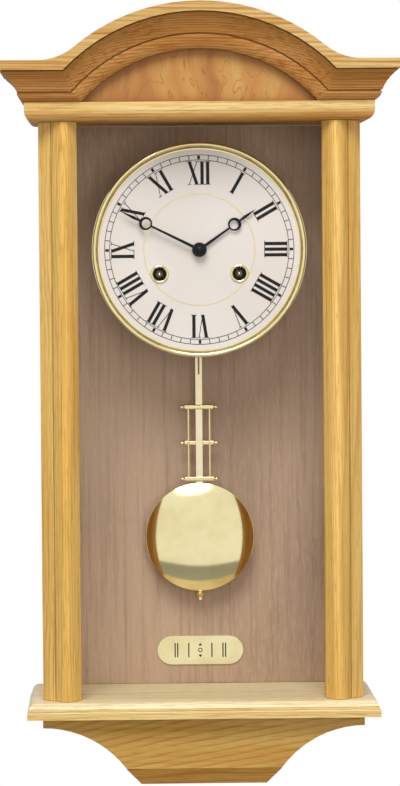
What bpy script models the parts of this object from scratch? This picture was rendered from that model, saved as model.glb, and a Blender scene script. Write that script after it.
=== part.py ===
"""Regulator wall clock: oak case, arched cornice, glazed door, two-train movement and pendulum.

Metres, +Z up, the front towards -Y. The wall is the plane y = 0, and the hands turn on the line x = 0, z = 0.
A turn is clockwise as seen from the front, which is positive about +Y.
"""

import math

import bmesh
import bpy
from mathutils import Vector

# Clearances
GAP = 0.0003
DOOR_GAP = 0.0005
BLADE_GAP = 0.0006

# Case
CASE_WIDTH = 0.260
CASE_DEPTH = 0.108
CASE_TOP = 0.1037
CASE_HEIGHT = 0.4677
SIDE_THICKNESS = 0.014
SIDE_RAIL = 0.018
SIDE_REBATE_DEPTH = 0.008
SIDE_REBATE_LAP = 0.006
SIDE_PANE = 0.0025
BACK_THICKNESS = 0.008

# Moulded boards above and below the door
TOP_BOARD_WIDTH = 0.2814
TOP_BOARD_DEPTH = 0.141
TOP_BOARD_HEIGHT = 0.0151
TOP_OVOLO_HEIGHT = 0.0085
TOP_OVOLO_DEPTH = 0.0065
BASE_BOARD_WIDTH = 0.2854
BASE_BOARD_DEPTH = 0.143
BASE_BOARD_HEIGHT = 0.0136
BASE_OVOLO_HEIGHT = 0.007
BASE_OVOLO_DEPTH = 0.006
QUIRK = 0.0012

# Cornice moulding, measured out from the top board's edge and up from its top
BEAD_REACH = 0.0054
BEAD_HEIGHT = 0.0068
BEAD_SHAPE = ((0.07, 0.0), (0.42, 0.2), (0.76, 0.5), (0.96, 0.8), (1.0, 1.0))
COVE_START = (0.0056, 0.0081)
COVE_END = (0.0176, 0.0234)
COVE_SAG = 0.0014
GROOVE = 0.0014
FILLET_REACH = 0.0193
FILLET_FOOT = 0.0247
CORNICE_HEIGHT = 0.0325
CORNICE_BACK = 0.008
ARCH_RADIUS = 0.1572
ARCH_RISE = 0.0465
ARCH_TAPER = 0.8
ARCH_LIP = 0.0042
ARCH_BLEND = 0.044
TYMPANUM_THICKNESS = 0.005
TYMPANUM_LAP = 0.008

# Apron below the base board
APRON_WIDTH = 0.2604
APRON_FRONT_DEPTH = 0.128
APRON_BOARD = 0.016
APRON_END = 0.008
APRON_COVE_RADIUS = 0.084
APRON_LIP_WIDTH = 0.1256
FOOT_HEIGHT = 0.0137
FOOT_WIDTH = 0.1018
FOOT_SETBACK = 0.013

# Door
STILE_WIDTH = 0.031
STILE_INNER_DEPTH = 0.0145
STILE_OUTER_DEPTH = 0.0175
STILE_CANT_DEPTH = 0.007
STILE_BULGE = 0.0105
STILE_BULGE_WIDTH = 0.0201
STILE_QUIRK = 0.0011
GLASS_THICKNESS = 0.003
GLASS_SETBACK = 0.0062
GLASS_LAP = 0.0055
PIVOT_INSET = 0.006
PIVOT_RADIUS = 0.0015
PIVOT_REACH = 0.006
CATCH_RADIUS = 0.0025
CATCH_LENGTH = 0.010
CATCH_INSET = 0.0095
CATCH_HEIGHT = -0.131
CATCH_PLATE_RADIUS = 0.003
CATCH_PLATE_THICKNESS = 0.0015

# Hanger, beat plate and gong on the back panel
HANGER_WIDTH = 0.040
HANGER_HEIGHT = 0.030
HANGER_THICKNESS = 0.002
HANGER_Z = 0.078
KEYHOLE_RADIUS = 0.0045
KEYHOLE_SLOT = 0.004
KEYHOLE_RISE = 0.009
NAIL_ROOM = 0.0035
BEAT_PLATE_LENGTH = 0.072
BEAT_PLATE_HEIGHT = 0.024
BEAT_PLATE_THICKNESS = 0.001
BEAT_PLATE_Z = -0.336
GONG_DEPTH = 0.015
GONG_WIRE = 0.003
GONG_TURNS = 4
GONG_OUTER = 0.040
GONG_INNER = 0.012
GONG_Z = -0.044
GONG_BLOCK = 0.012
GONG_BLOCK_HEIGHT = 0.016

# Movement frame
PENDULUM_DEPTH = 0.026
PLATE_DEPTH = 0.036
PLATE_THICKNESS = 0.002
PLATE_SPACE = 0.038
PLATE_WIDTH = 0.134
PLATE_TOP = 0.054
PLATE_BOTTOM = -0.054
PILLAR_RADIUS = 0.0035
PILLAR_INSET = 0.0045
BRACKET_WIDTH = 0.012
BRACKET_HEIGHT = 0.026
BRACKET_SHEET = 0.002
BRACKET_Z = 0.012
ARBOR_RADIUS = 0.0007
PIVOT_PIN = 0.00045
WINDING_SPREAD = 0.0652
WINDING_DROP = 0.0196
WINDING_ARBOR = 0.0035
WINDING_PIVOT = 0.003
WINDING_SQUARE = 0.0038
WINDING_SINK = 0.004

# Wheelwork: leaves, teeth and modules
GREAT_TEETH = 60
GREAT_MODULE = 0.001
FIRST_LEAVES = 10
INTERMEDIATE_TEETH = 56
INTERMEDIATE_MODULE = 0.0006
CENTRE_LEAVES = 8
CENTRE_TEETH = 60
CENTRE_MODULE = 0.0005
THIRD_LEAVES = 6
THIRD_TEETH = 63
THIRD_MODULE = 0.00044
THIRD_BEARING = 119.0
ESCAPE_LEAVES = 6
ESCAPE_TEETH = 32
ESCAPE_RADIUS = 0.0125
ESCAPE_TOOTH = 0.0024
ESCAPE_RIM = 0.0087
CANNON_LEAVES = 12
MINUTE_TEETH = 36
MINUTE_MODULE = 0.0005
MINUTE_LEAVES = 9
HOUR_TEETH = 36
MINUTE_BEARING = -60.0
PIN_TEETH = 56
PIN_MODULE = 0.0005
PIN_BEARING = 80.0
FLY_LEAVES = 7
FLY_BEARING = 100.0
FLY_RADIUS = 0.0095
FLY_LENGTH = 0.018
FLY_VANE = 0.001
WHEEL_THICKNESS = 0.0015
WHEEL_HUB = 0.0028
SPOKES = 4
SPOKE_WIDTH = 0.0016
GREAT_THICKNESS = 0.0025
GREAT_BORE = 0.020
LEAF_LENGTH = 0.0035
DRUM_RADIUS = 0.025
DRUM_LENGTH = 0.023
GREAT_OFFSET = 0.002
ESCAPE_OFFSET = 0.007
MIDDLE_OFFSET = 0.017
SECOND_OFFSET = 0.006
CENTRE_OFFSET = 0.003
MINUTE_OFFSET = 0.0018
HOUR_OFFSET = 0.0052
MINUTE_STUD = 0.0009
CENTRE_ARBOR = 0.0015
RIM_MODULES = 3
LIFTING_CIRCLE = 0.01
LIFTING_PINS = 8
LIFTING_PIN_RADIUS = 0.0007
LIFTING_PIN_LENGTH = 0.003

# Escapement and pendulum
ANCHOR_RISE = 0.0181
ANCHOR_CLEARANCE = 0.0012
ANCHOR_THICKNESS = 0.003
ANCHOR_ARM = 0.002
ANCHOR_BOSS = 0.0024
ANCHOR_SPREAD = 48.0
ANCHOR_SHOULDER = 37.5
CRUTCH_LENGTH = 0.044
CRUTCH_WIDTH = 0.003
CRUTCH_SHEET = 0.0015
SUSPENSION_WIDTH = 0.006
SUSPENSION_STRIP = 0.0005
SUSPENSION_BAR = 0.006
SUSPENSION_BAR_HEIGHT = 0.0015
CHOP_NECK = 0.003
CHOP_FOOT = 0.0072
CHOP_SHOULDER = 0.0056
CHOP_FLOOR = 0.0098
COCK_WIDTH = 0.020
COCK_ARM = 0.010
COCK_HEIGHT = 0.006
ROD_WIDTH = 0.0055
ROD_THICKNESS = 0.002
ROD_SLOT = 0.0014
ROD_SLOT_END = -0.1038
ROD_HEAD_WIDTH = 0.012
ROD_HEAD_DROP = 0.009
ROD_HEAD_HEIGHT = 0.014
BOB_RADIUS = 0.0451
BOB_THICKNESS = 0.018
BOB_EDGE = 0.0024
BOB_Z = -0.2393
BAR_LENGTH = 0.0238
BAR_HEIGHT = 0.004
BAR_THICKNESS = 0.0016
BAR_BALL = 0.003
BAR_NECK = 0.0007
BAR_REST = 0.0032
BAR_PITCH = 0.030
SIDE_ROD_RADIUS = 0.00085
SIDE_ROD_SPREAD = 0.0176
RATING_NUT_RADIUS = 0.003
RATING_NUT_HEIGHT = 0.0076
RATING_NUT_WAIST = 0.0024
RATING_NUT_RIM = 0.0022

# Hammer
HAMMER_HEAD_RADIUS = 0.0045
HAMMER_HEAD_LENGTH = 0.012
HAMMER_REST_GAP = 0.0015
HAMMER_BEARING = 160.0
HAMMER_ARM = 0.060
HAMMER_ARM_RADIUS = 0.0011
HAMMER_STUD = 0.002
HAMMER_HUB = 0.0045

# Dial and hands
DIAL_DEPTH = 0.088
DIAL_THICKNESS = 0.0015
DIAL_LAP = 0.003
BEZEL_OPENING = 0.0818
BEZEL_WIDTH = 0.0066
BEZEL_DEPTH = 0.007
DIAL_FOOT_RADIUS = 0.0025
DIAL_FOOT_CIRCLE = 0.062
GROMMET_RADIUS = 0.0076
GROMMET_BORE = 0.0054
GROMMET_LIP = 0.0012
HAND_THICKNESS = 0.0011
HAND_LIFT = 0.0022
HAND_STEP = 0.0034
HAND_BOSS = 0.0059
CANNON_PIPE = 0.0024
HOUR_PIPE = 0.0038
MINUTE_RING_AT = 0.0488
MINUTE_TIP = 0.0739
HOUR_RING_AT = 0.0354
HOUR_TIP = 0.0568
RING_RADIUS = 0.0054
RING_HOLE = 0.0036
HAND_ROOT_WIDTH = 0.0022
HAND_NECK_WIDTH = 0.0013
HAND_LEAF = 0.0055
HAND_NUT_RADIUS = 0.0036
HAND_NUT_COLLAR = 0.0009
HAND_NUT_DOME = 0.0021
MINUTES_SHOWN = 49.4
HOUR_SHOWN = 1

# Facets of round pieces
FINE = 36
ROUND = 14
SMALL = 8
TINY = 6

# Places that follow from the sizes above
CASE_FLOOR = CASE_TOP - CASE_HEIGHT
HALF_CASE = CASE_WIDTH / 2
INNER_SIDE = HALF_CASE - SIDE_THICKNESS
TOP_BOARD_TOP = CASE_TOP + TOP_BOARD_HEIGHT
BASE_BOARD_BOTTOM = CASE_FLOOR - BASE_BOARD_HEIGHT
DOOR_BACK = CASE_DEPTH + DOOR_GAP
PIVOT = (HALF_CASE - PIVOT_INSET, -DOOR_BACK - PIVOT_INSET)
PANEL_FACE = -BACK_THICKNESS
BACK_PLATE_FRONT = -(PLATE_DEPTH + PLATE_THICKNESS)
FRONT_PLATE_BACK = BACK_PLATE_FRONT - PLATE_SPACE
FRONT_PLATE_FRONT = FRONT_PLATE_BACK - PLATE_THICKNESS
DIAL_FRONT = -(DIAL_DEPTH + DIAL_THICKNESS)
DIAL_RADIUS = BEZEL_OPENING + DIAL_LAP
BEZEL_RADIUS = BEZEL_OPENING + BEZEL_WIDTH
HOUR_HAND_BACK = DIAL_FRONT - HAND_LIFT
MINUTE_HAND_BACK = HOUR_HAND_BACK - HAND_STEP
COCK_FRONT = -PENDULUM_DEPTH - COCK_ARM / 2


def polar(radius, degrees, centre=(0.0, 0.0)):
    """A point of the X-Z plane at a radius and a bearing counted from +X towards +Z."""
    angle = math.radians(degrees)
    return (centre[0] + radius * math.cos(angle), centre[1] + radius * math.sin(angle))


def arc(centre, radius, first, last, steps):
    """Points of a circular arc between two bearings."""
    return [polar(radius, first + (last - first) * i / steps, centre) for i in range(steps + 1)]


def ellipse_quarter(reach, rise, steps):
    """Points (out, up) of a quarter round that starts at (0, 0) going up and ends at (reach, rise)."""
    turns = [math.pi / 2 * i / steps for i in range(steps + 1)]
    return [(reach * (1 - math.cos(t)), rise * math.sin(t)) for t in turns]


def circle_meeting(first, first_radius, second, second_radius):
    """The upper crossing of two circles of the X-Z plane."""
    a = Vector(first)
    way = Vector(second) - a
    along = (first_radius**2 - second_radius**2 + way.length_squared) / (2 * way.length)
    across = math.sqrt(first_radius**2 - along**2)
    unit = way.normalized()
    side = Vector((-unit.y, unit.x))
    meetings = [a + unit * along + side * across, a + unit * along - side * across]
    return tuple(max(meetings, key=lambda p: p.y))


def bearing_to(start, end):
    """Bearing in degrees from one point of the X-Z plane to another."""
    return math.degrees(math.atan2(end[1] - start[1], end[0] - start[0]))


# Solids
PLANES = {
    "XZ": lambda u, v, w: (u, w, v),
    "YZ": lambda u, v, w: (w, u, v),
    "XY": lambda u, v, w: (u, v, w),
}


def prism(outlines, start, end, plane="XZ"):
    """A flat outline, with any further outlines as holes, extruded square to its plane."""
    bm = bmesh.new()
    place = PLANES[plane]
    for outline in outlines:
        corners = [bm.verts.new(place(u, v, start)) for u, v in outline]
        for i, corner in enumerate(corners):
            bm.edges.new((corner, corners[i - 1]))
    bmesh.ops.triangle_fill(bm, use_beauty=True, edges=bm.edges[:])
    lifted = bmesh.ops.extrude_face_region(bm, geom=bm.faces[:])["geom"]
    corners = [v for v in lifted if isinstance(v, bmesh.types.BMVert)]
    bmesh.ops.translate(bm, verts=corners, vec=Vector(place(0, 0, end - start)))
    return bm


def loft(rings, closed=False):
    """A skin through rings of equal count, capped at both ends or closed on itself."""
    bm = bmesh.new()
    rows = [[bm.verts.new(point) for point in ring] for ring in rings]
    pairs = list(zip(rows, rows[1:]))
    if closed:
        pairs.append((rows[-1], rows[0]))
    for low, high in pairs:
        for i in range(len(low)):
            bm.faces.new((low[i - 1], low[i], high[i], high[i - 1]))
    if not closed:
        bm.faces.new(rows[0])
        bm.faces.new(rows[-1])
    bmesh.ops.remove_doubles(bm, verts=bm.verts[:], dist=1e-7)
    return bm


def box(low, high):
    """A block between two corners."""
    ring = [(low[0], low[1]), (high[0], low[1]), (high[0], high[1]), (low[0], high[1])]
    return loft([[(x, y, z) for x, y in ring] for z in (low[2], high[2])])


def turned(profile, facets, centre=(0.0, 0.0, 0.0), axis="Y", hollow=False):
    """A profile of (radius, along) points turned about an axis. A hollow profile is a closed ring section."""
    steps = [2 * math.pi * (i + 0.5) / facets for i in range(facets)]
    cx, cy, cz = centre
    place = {
        "X": lambda r, a, t: (cx + a, cy + r * math.cos(t), cz + r * math.sin(t)),
        "Y": lambda r, a, t: (cx + r * math.cos(t), cy + a, cz + r * math.sin(t)),
        "Z": lambda r, a, t: (cx + r * math.cos(t), cy + r * math.sin(t), cz + a),
    }[axis]
    rings = [[place(radius, along, t) for t in steps] for radius, along in profile]
    return loft(rings, closed=hollow)


def rod(radius, start, end, facets, centre=(0.0, 0.0), axis="Y"):
    """A plain round bar along an axis, centred on the other two coordinates."""
    x, z = centre
    place = {"X": (0.0, x, z), "Y": (x, 0.0, z), "Z": (x, z, 0.0)}[axis]
    return turned([(radius, start), (radius, end)], facets, place, axis)


# Finishes: colour, roughness and metallic value
FINISHES = {
    "oak": ((0.62, 0.37, 0.12, 1.0), 0.38, 0.0),
    "burl": ((0.56, 0.28, 0.11, 1.0), 0.32, 0.0),
    "panel_veneer": ((0.27, 0.17, 0.12, 1.0), 0.45, 0.0),
    "brass": ((0.83, 0.63, 0.26, 1.0), 0.22, 1.0),
    "steel": ((0.56, 0.56, 0.58, 1.0), 0.32, 1.0),
    "iron": ((0.06, 0.06, 0.065, 1.0), 0.6, 0.4),
    "dial_paint": ((0.76, 0.69, 0.62, 1.0), 0.5, 0.0),
    "black_lacquer": ((0.012, 0.012, 0.014, 1.0), 0.2, 0.0),
    "glass": ((0.95, 0.97, 0.96, 1.0), 0.03, 0.0),
}


def finish(name):
    """The Principled material of a finish, made when it is first asked for."""
    if name in bpy.data.materials:
        return bpy.data.materials[name]
    colour, roughness, metallic = FINISHES[name]
    made = bpy.data.materials.new(name)
    made.use_nodes = True
    shader = made.node_tree.nodes["Principled BSDF"]
    shader.inputs["Base Color"].default_value = colour
    shader.inputs["Roughness"].default_value = roughness
    shader.inputs["Metallic"].default_value = metallic
    if name == "glass":
        shader.inputs["Transmission Weight"].default_value = 1.0
    return made


# Axes that pieces turn on: each is an empty that its pieces are parented to
AXES = {}


def axis_at(name, x=0.0, y=0.0, z=0.0):
    """An empty on a joint's axis."""
    empty = bpy.data.objects.new(f"{name}_axis", None)
    empty.location = (x, y, z)
    bpy.context.scene.collection.objects.link(empty)
    AXES[name] = empty
    return empty


def solid(name, bm, look, axis=None, turn=0.0):
    """A named object from a bmesh whose coordinates are in the world, carried by its joint's empty."""
    bmesh.ops.recalc_face_normals(bm, faces=bm.faces[:])
    origin = AXES[axis].location if axis else Vector((0.0, 0.0, 0.0))
    bmesh.ops.translate(bm, verts=bm.verts[:], vec=-origin)
    mesh = bpy.data.meshes.new(name)
    bm.to_mesh(mesh)
    bm.free()
    mesh.shade_smooth()
    mesh.set_sharp_from_angle(angle=math.radians(32))
    mesh.materials.append(finish(look))
    made = bpy.data.objects.new(name, mesh)
    bpy.context.scene.collection.objects.link(made)
    made.parent = AXES[axis] if axis else None
    made.rotation_euler = (0.0, math.radians(turn), 0.0)
    return made


def combine(target, bm, operation):
    """Joins a solid to an object, or cuts it away, with a Boolean. The helper follows the object."""
    axis = target.parent.name.removesuffix("_axis") if target.parent else None
    helper = solid(f"{target.name}_{operation.lower()}_{len(target.modifiers)}", bm, "steel", axis)
    helper.rotation_euler = target.rotation_euler
    helper.hide_render = True
    helper.display_type = "WIRE"
    boolean = target.modifiers.new(operation.title(), "BOOLEAN")
    boolean.operation = operation
    boolean.object = helper
    return target


def join(target, *solids):
    """Unions further solids into an object."""
    for bm in solids:
        combine(target, bm, "UNION")
    return target


def cut(target, *solids):
    """Takes solids out of an object."""
    for bm in solids:
        combine(target, bm, "DIFFERENCE")
    return target


# Case
def build_back_panel():
    """Veneered back with a stepped recess behind for the hanger and the head of its nail."""
    panel = solid(
        "back_panel",
        box((GAP - INNER_SIDE, PANEL_FACE, CASE_FLOOR + GAP), (INNER_SIDE - GAP, 0.0, CASE_TOP - GAP)),
        "panel_veneer",
    )
    half, tall = HANGER_WIDTH / 2, HANGER_HEIGHT / 2
    seat = HANGER_THICKNESS + 2 * GAP
    room = half / 2
    cut(
        panel,
        box((-half - GAP, -seat, HANGER_Z - tall - GAP), (half + GAP, seat, HANGER_Z + tall + GAP)),
        box((-room, -seat - NAIL_ROOM, HANGER_Z - tall + GAP), (room, seat, HANGER_Z + tall - GAP)),
    )


def build_hanger():
    """Steel plate with a keyhole: a nail's head goes in below and the slot drops on its shank."""
    half = HANGER_WIDTH / 2
    low, high = HANGER_Z - HANGER_HEIGHT / 2, HANGER_Z + HANGER_HEIGHT / 2
    plate = [(-half, low), (half, low), (half, high), (-half, high)]
    entry = (0.0, HANGER_Z - KEYHOLE_RISE / 2)
    slot = (0.0, HANGER_Z + KEYHOLE_RISE / 2)
    shoulder = math.degrees(math.asin(KEYHOLE_SLOT / 2 / KEYHOLE_RADIUS))
    keyhole = arc(entry, KEYHOLE_RADIUS, 90 + shoulder, 450 - shoulder, 12)
    keyhole += arc(slot, KEYHOLE_SLOT / 2, 0, 180, 5)
    solid("hanger_plate", prism([plate, keyhole], -GAP, -GAP - HANGER_THICKNESS), "steel")


def build_side(name, side):
    """Side frame mitred round a tall window, with a pane in a rebate that opens inwards."""
    low = (-CASE_DEPTH, CASE_FLOOR + GAP)
    high = (0.0, CASE_TOP - GAP)
    outer, inner = side * HALF_CASE, side * INNER_SIDE
    step = outer - side * (SIDE_THICKNESS - SIDE_REBATE_DEPTH)
    rebate = SIDE_RAIL - SIDE_REBATE_LAP
    section = [(0, outer), (SIDE_RAIL, outer), (SIDE_RAIL, step)]
    section += [(rebate, step), (rebate, inner), (0, inner)]

    def corner(y_end, z_end):
        return [
            (
                x,
                low[0] + inset if y_end == 0 else high[0] - inset,
                low[1] + inset if z_end == 0 else high[1] - inset,
            )
            for inset, x in section
        ]

    corners = [corner(0, 0), corner(1, 0), corner(1, 1), corner(0, 1)]
    frame = solid(f"{name}_side_frame", loft(corners, closed=True), "oak")
    back = rebate + GAP
    pane_outer = step - side * GAP
    xs = sorted((pane_outer, pane_outer - side * SIDE_PANE))
    solid(
        f"{name}_side_glass",
        box((xs[0], low[0] + back, low[1] + back), (xs[1], high[0] - back, high[1] - back)),
        "glass",
    )
    return frame


def moulded_board(width, depth, profile):
    """A board whose front and end edges carry a moulding: profile points are (inset, height)."""
    rings = []
    for inset, z in profile:
        half = width / 2 - inset
        front = inset - depth
        rings.append([(-half, 0.0, z), (half, 0.0, z), (half, front, z), (-half, front, z)])
    return loft(rings)


def pivot_bore(height):
    """Bore for a door pin, from a level inside the wood to a level outside it."""
    reach = PIVOT_REACH + GAP
    return rod(PIVOT_RADIUS + GAP, height - reach, height + reach, SMALL, PIVOT, "Z")


def build_boards():
    """Top board with an ovolo under its edge, and base board with an ovolo over a quirk and fillet."""
    ovolo = ellipse_quarter(TOP_OVOLO_HEIGHT, TOP_OVOLO_DEPTH, 5)
    profile = [(TOP_OVOLO_DEPTH - out, CASE_TOP + up) for up, out in ovolo]
    profile.append((0.0, TOP_BOARD_TOP))
    top = solid("top_board", moulded_board(TOP_BOARD_WIDTH, TOP_BOARD_DEPTH, profile), "oak")
    cut(top, pivot_bore(CASE_TOP))
    round_foot = CASE_FLOOR - BASE_OVOLO_HEIGHT
    profile = [
        (0.0, BASE_BOARD_BOTTOM),
        (0.0, round_foot - QUIRK),
        (QUIRK, round_foot - QUIRK / 2),
    ]
    ovolo = ellipse_quarter(BASE_OVOLO_DEPTH, BASE_OVOLO_HEIGHT, 5)
    profile += [(QUIRK + out, round_foot + up) for out, up in ovolo]
    base = solid("base_board", moulded_board(BASE_BOARD_WIDTH, BASE_BOARD_DEPTH, profile), "oak")
    cut(base, pivot_bore(CASE_FLOOR))


# Cornice
def cornice_profile():
    """Section points (out, up): a bead, a shallow cove and a fillet, with a square groove at each join."""
    bead = [(out * BEAD_REACH, up * BEAD_HEIGHT) for out, up in BEAD_SHAPE]
    lower = [(BEAD_REACH - GROOVE, BEAD_HEIGHT), (BEAD_REACH - GROOVE, COVE_START[1])]
    run, rise = COVE_END[0] - COVE_START[0], COVE_END[1] - COVE_START[1]
    slant = math.hypot(run, rise)
    cove = []
    steps = 5
    for i in range(steps + 1):
        share = i / steps
        sag = 4 * COVE_SAG * share * (1 - share) / slant
        cove.append((COVE_START[0] + run * share - rise * sag, COVE_START[1] + rise * share + run * sag))
    upper = [(COVE_END[0] - GROOVE, COVE_END[1]), (COVE_END[0] - GROOVE, FILLET_FOOT)]
    fillet = [(FILLET_REACH, FILLET_FOOT), (FILLET_REACH, CORNICE_HEIGHT)]
    return bead + lower + cove + upper + fillet


def arch_circle(up):
    """Centre height and radius of one line of the arch: the lines draw together from the crown to the ends."""
    drop = CORNICE_HEIGHT - up + ARCH_LIP * max(0.0, 1 - up / BEAD_HEIGHT)
    radius = ARCH_RADIUS - ARCH_TAPER * drop
    return TOP_BOARD_TOP + CORNICE_HEIGHT + ARCH_RISE - drop - radius, radius


def arch_path(up, reach, blend):
    """Half of one line of the front moulding, from its end to the crown: shoulder, hollow blend and arch."""
    level = TOP_BOARD_TOP + up
    centre, radius = arch_circle(up)
    rise = level + blend - centre
    foot = math.sqrt((radius + blend) ** 2 - rise**2)
    spring = math.degrees(math.atan2(rise, foot))
    shoulder = [(TOP_BOARD_WIDTH / 2 + reach, level)]
    hollow = arc((foot, level + blend), blend, -90, spring - 180, 5)
    crown = arc((0.0, centre), radius, spring, 90, 10)
    return shoulder + hollow + crown


def build_cornice():
    """Arched front moulding mitred to a straight return at each end."""
    profile = cornice_profile()
    section = profile + [(-CORNICE_BACK, CORNICE_HEIGHT), (-CORNICE_BACK, 0.0)]
    lines = []
    for out, up in section:
        half = arch_path(up, out, ARCH_BLEND if up == CORNICE_HEIGHT else 0.0)
        whole = half + [(-x, z) for x, z in reversed(half[:-1])]
        lines.append([(x, -TOP_BOARD_DEPTH - out, z + GAP) for x, z in whole])
    solid("cornice_front", loft(list(zip(*lines))), "oak")
    for name, side in (("left", -1), ("right", 1)):
        at_wall, at_mitre = [], []
        for out, up in section:
            x, z = side * (TOP_BOARD_WIDTH / 2 + out), TOP_BOARD_TOP + up + GAP
            at_wall.append((x, 0.0, z))
            at_mitre.append((x, 2 * GAP - TOP_BOARD_DEPTH - out, z))
        solid(f"cornice_{name}", loft([at_wall, at_mitre]), "oak")
    centre, lip = arch_circle(0.0)
    radius = lip + TYMPANUM_LAP
    foot = TOP_BOARD_TOP + GAP
    spring = math.degrees(math.asin((foot - centre) / radius))
    front = CORNICE_BACK + GAP - TOP_BOARD_DEPTH
    panel = arc((0.0, centre), radius, spring, 180 - spring, 24)
    solid("tympanum_panel", prism([panel], front, front + TYMPANUM_THICKNESS), "burl")


# Apron
def build_apron():
    """Shaped front board, two coved boards behind it, and a chamfered foot that closes them."""
    top = BASE_BOARD_BOTTOM - GAP
    half = APRON_WIDTH / 2
    shoulder = BASE_BOARD_BOTTOM - APRON_END
    centre = (half, shoulder - APRON_COVE_RADIUS)
    lip = half - APRON_LIP_WIDTH / 2
    stop = 90 + math.degrees(math.asin(lip / APRON_COVE_RADIUS))
    right = arc(centre, APRON_COVE_RADIUS, 90, stop, 10)
    outline = [(half, top)] + right + [(-x, z) for x, z in reversed(right)] + [(-half, top)]
    front = -APRON_FRONT_DEPTH
    solid("apron_front", prism([outline], front, front + APRON_BOARD), "oak")
    thick = APRON_END - GAP
    end = stop - math.degrees(2 * GAP / APRON_COVE_RADIUS)
    board = arc(centre, APRON_COVE_RADIUS, 90, end, 10)
    board += arc(centre, APRON_COVE_RADIUS + thick, end, 90, 10)
    for name, side in (("left", -1), ("right", 1)):
        outline = [(side * x, z) for x, z in board]
        solid(f"apron_{name}", prism([outline], front + APRON_BOARD + GAP, 0.0), "oak")
    foot_top = right[-1][1] - GAP
    levels = [
        (FOOT_WIDTH / 2, FOOT_SETBACK, foot_top - FOOT_HEIGHT),
        (APRON_LIP_WIDTH / 2, 0.0, foot_top),
    ]
    rings = [
        [(-wide, 0.0, z), (wide, 0.0, z), (wide, front + back, z), (-wide, front + back, z)]
        for wide, back, z in levels
    ]
    solid("apron_foot", loft(rings), "oak")


# Door
def stile_section():
    """Plan of a stile as (across, forward) points: glass groove, swell, quirk and cant."""
    groove = GLASS_LAP + GAP
    near, far = GLASS_SETBACK, GLASS_SETBACK + GLASS_THICKNESS + 2 * GAP
    points = [(0.0, 0.0), (0.0, near), (groove, near), (groove, far), (0.0, far)]
    steps = 9
    for i in range(steps + 1):
        share = i / steps
        base = STILE_INNER_DEPTH + (STILE_OUTER_DEPTH - STILE_INNER_DEPTH) * share
        points.append((STILE_BULGE_WIDTH * share, base + STILE_BULGE * math.sin(math.pi * share)))
    points += [
        (STILE_BULGE_WIDTH + STILE_QUIRK / 3, STILE_OUTER_DEPTH - STILE_QUIRK),
        (STILE_BULGE_WIDTH + STILE_QUIRK, STILE_OUTER_DEPTH),
        (STILE_WIDTH, STILE_CANT_DEPTH),
    ]
    points += arc((STILE_WIDTH - PIVOT_INSET, PIVOT_INSET), PIVOT_INSET, 0, -90, 5)
    return points


def build_door():
    """Two stiles with the pane let into their grooves, two hinge pins and a plate for the catch."""
    axis_at("door", *PIVOT, 0.0)
    bottom, top = CASE_FLOOR + GAP, CASE_TOP - GAP
    glass_edge = HALF_CASE - STILE_WIDTH
    plan = stile_section()
    stiles = {}
    for name, side in (("left", -1), ("right", 1)):
        placed = [(side * (glass_edge + across), -DOOR_BACK - forward) for across, forward in plan]
        rings = [[(x, y, z) for x, y in placed] for z in (bottom, top)]
        stiles[name] = solid(f"door_stile_{name}", loft(rings), "oak", "door")
    cut(stiles["right"], pivot_bore(bottom), pivot_bore(top))
    half = glass_edge + GLASS_LAP
    back = -DOOR_BACK - GLASS_SETBACK - GAP
    solid("door_glass", box((-half, back - GLASS_THICKNESS, bottom), (half, back, top)), "glass", "door")
    for name, level in (("top", CASE_TOP), ("bottom", CASE_FLOOR)):
        pin = rod(PIVOT_RADIUS, level - PIVOT_REACH, level + PIVOT_REACH, SMALL, PIVOT, "Z")
        solid(f"hinge_pin_{name}", pin, "steel", "door")
    x = CATCH_INSET - HALF_CASE
    centre = (x, CATCH_HEIGHT)
    plate_face = -DOOR_BACK - GAP
    plate_back = plate_face - CATCH_PLATE_THICKNESS
    solid("catch_plate", rod(CATCH_PLATE_RADIUS, plate_back, plate_face, SMALL, centre), "steel", "door")
    cut(stiles["left"], rod(CATCH_PLATE_RADIUS + GAP, plate_back - GAP, 0.0, SMALL, centre))


def build_catch(frame):
    """Round magnet let into the front edge of the left side frame."""
    centre = (CATCH_INSET - HALF_CASE, CATCH_HEIGHT)
    back = -CASE_DEPTH + CATCH_LENGTH
    solid("magnet_catch", rod(CATCH_RADIUS, back, -CASE_DEPTH, SMALL, centre), "iron")
    cut(frame, rod(CATCH_RADIUS + GAP, back + GAP, -CASE_DEPTH - CATCH_LENGTH, SMALL, centre))


# Fittings on the back panel
def build_beat_plate():
    """Brass plate with round ends that the pendulum's swing is read against."""
    half = (BEAT_PLATE_LENGTH - BEAT_PLATE_HEIGHT) / 2
    radius = BEAT_PLATE_HEIGHT / 2
    outline = arc((half, BEAT_PLATE_Z), radius, -90, 90, 10)
    outline += arc((-half, BEAT_PLATE_Z), radius, 90, 270, 10)
    back = PANEL_FACE - GAP
    solid("beat_plate", prism([outline], back, back - BEAT_PLATE_THICKNESS), "brass")


def gong_line():
    """Centre line of the gong: a flat spiral that ends in a short straight run into its block."""
    per_turn = 24
    steps = GONG_TURNS * per_turn
    line = []
    for i in range(steps + 1):
        radius = GONG_INNER + (GONG_OUTER - GONG_INNER) * i / steps
        x, z = polar(radius, 360 * i / per_turn, (0.0, GONG_Z))
        line.append((x, -GONG_DEPTH, z))
    line.append((GONG_OUTER, -GONG_DEPTH, GONG_Z + GONG_WIRE))
    return line


def least_gap(line, thickness):
    """Smallest clear distance between neighbouring turns of a wound wire."""
    points = [Vector(p) for p in line]
    apart = 12
    return min((a - b).length for i, a in enumerate(points) for b in points[i + apart :]) - thickness


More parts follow.
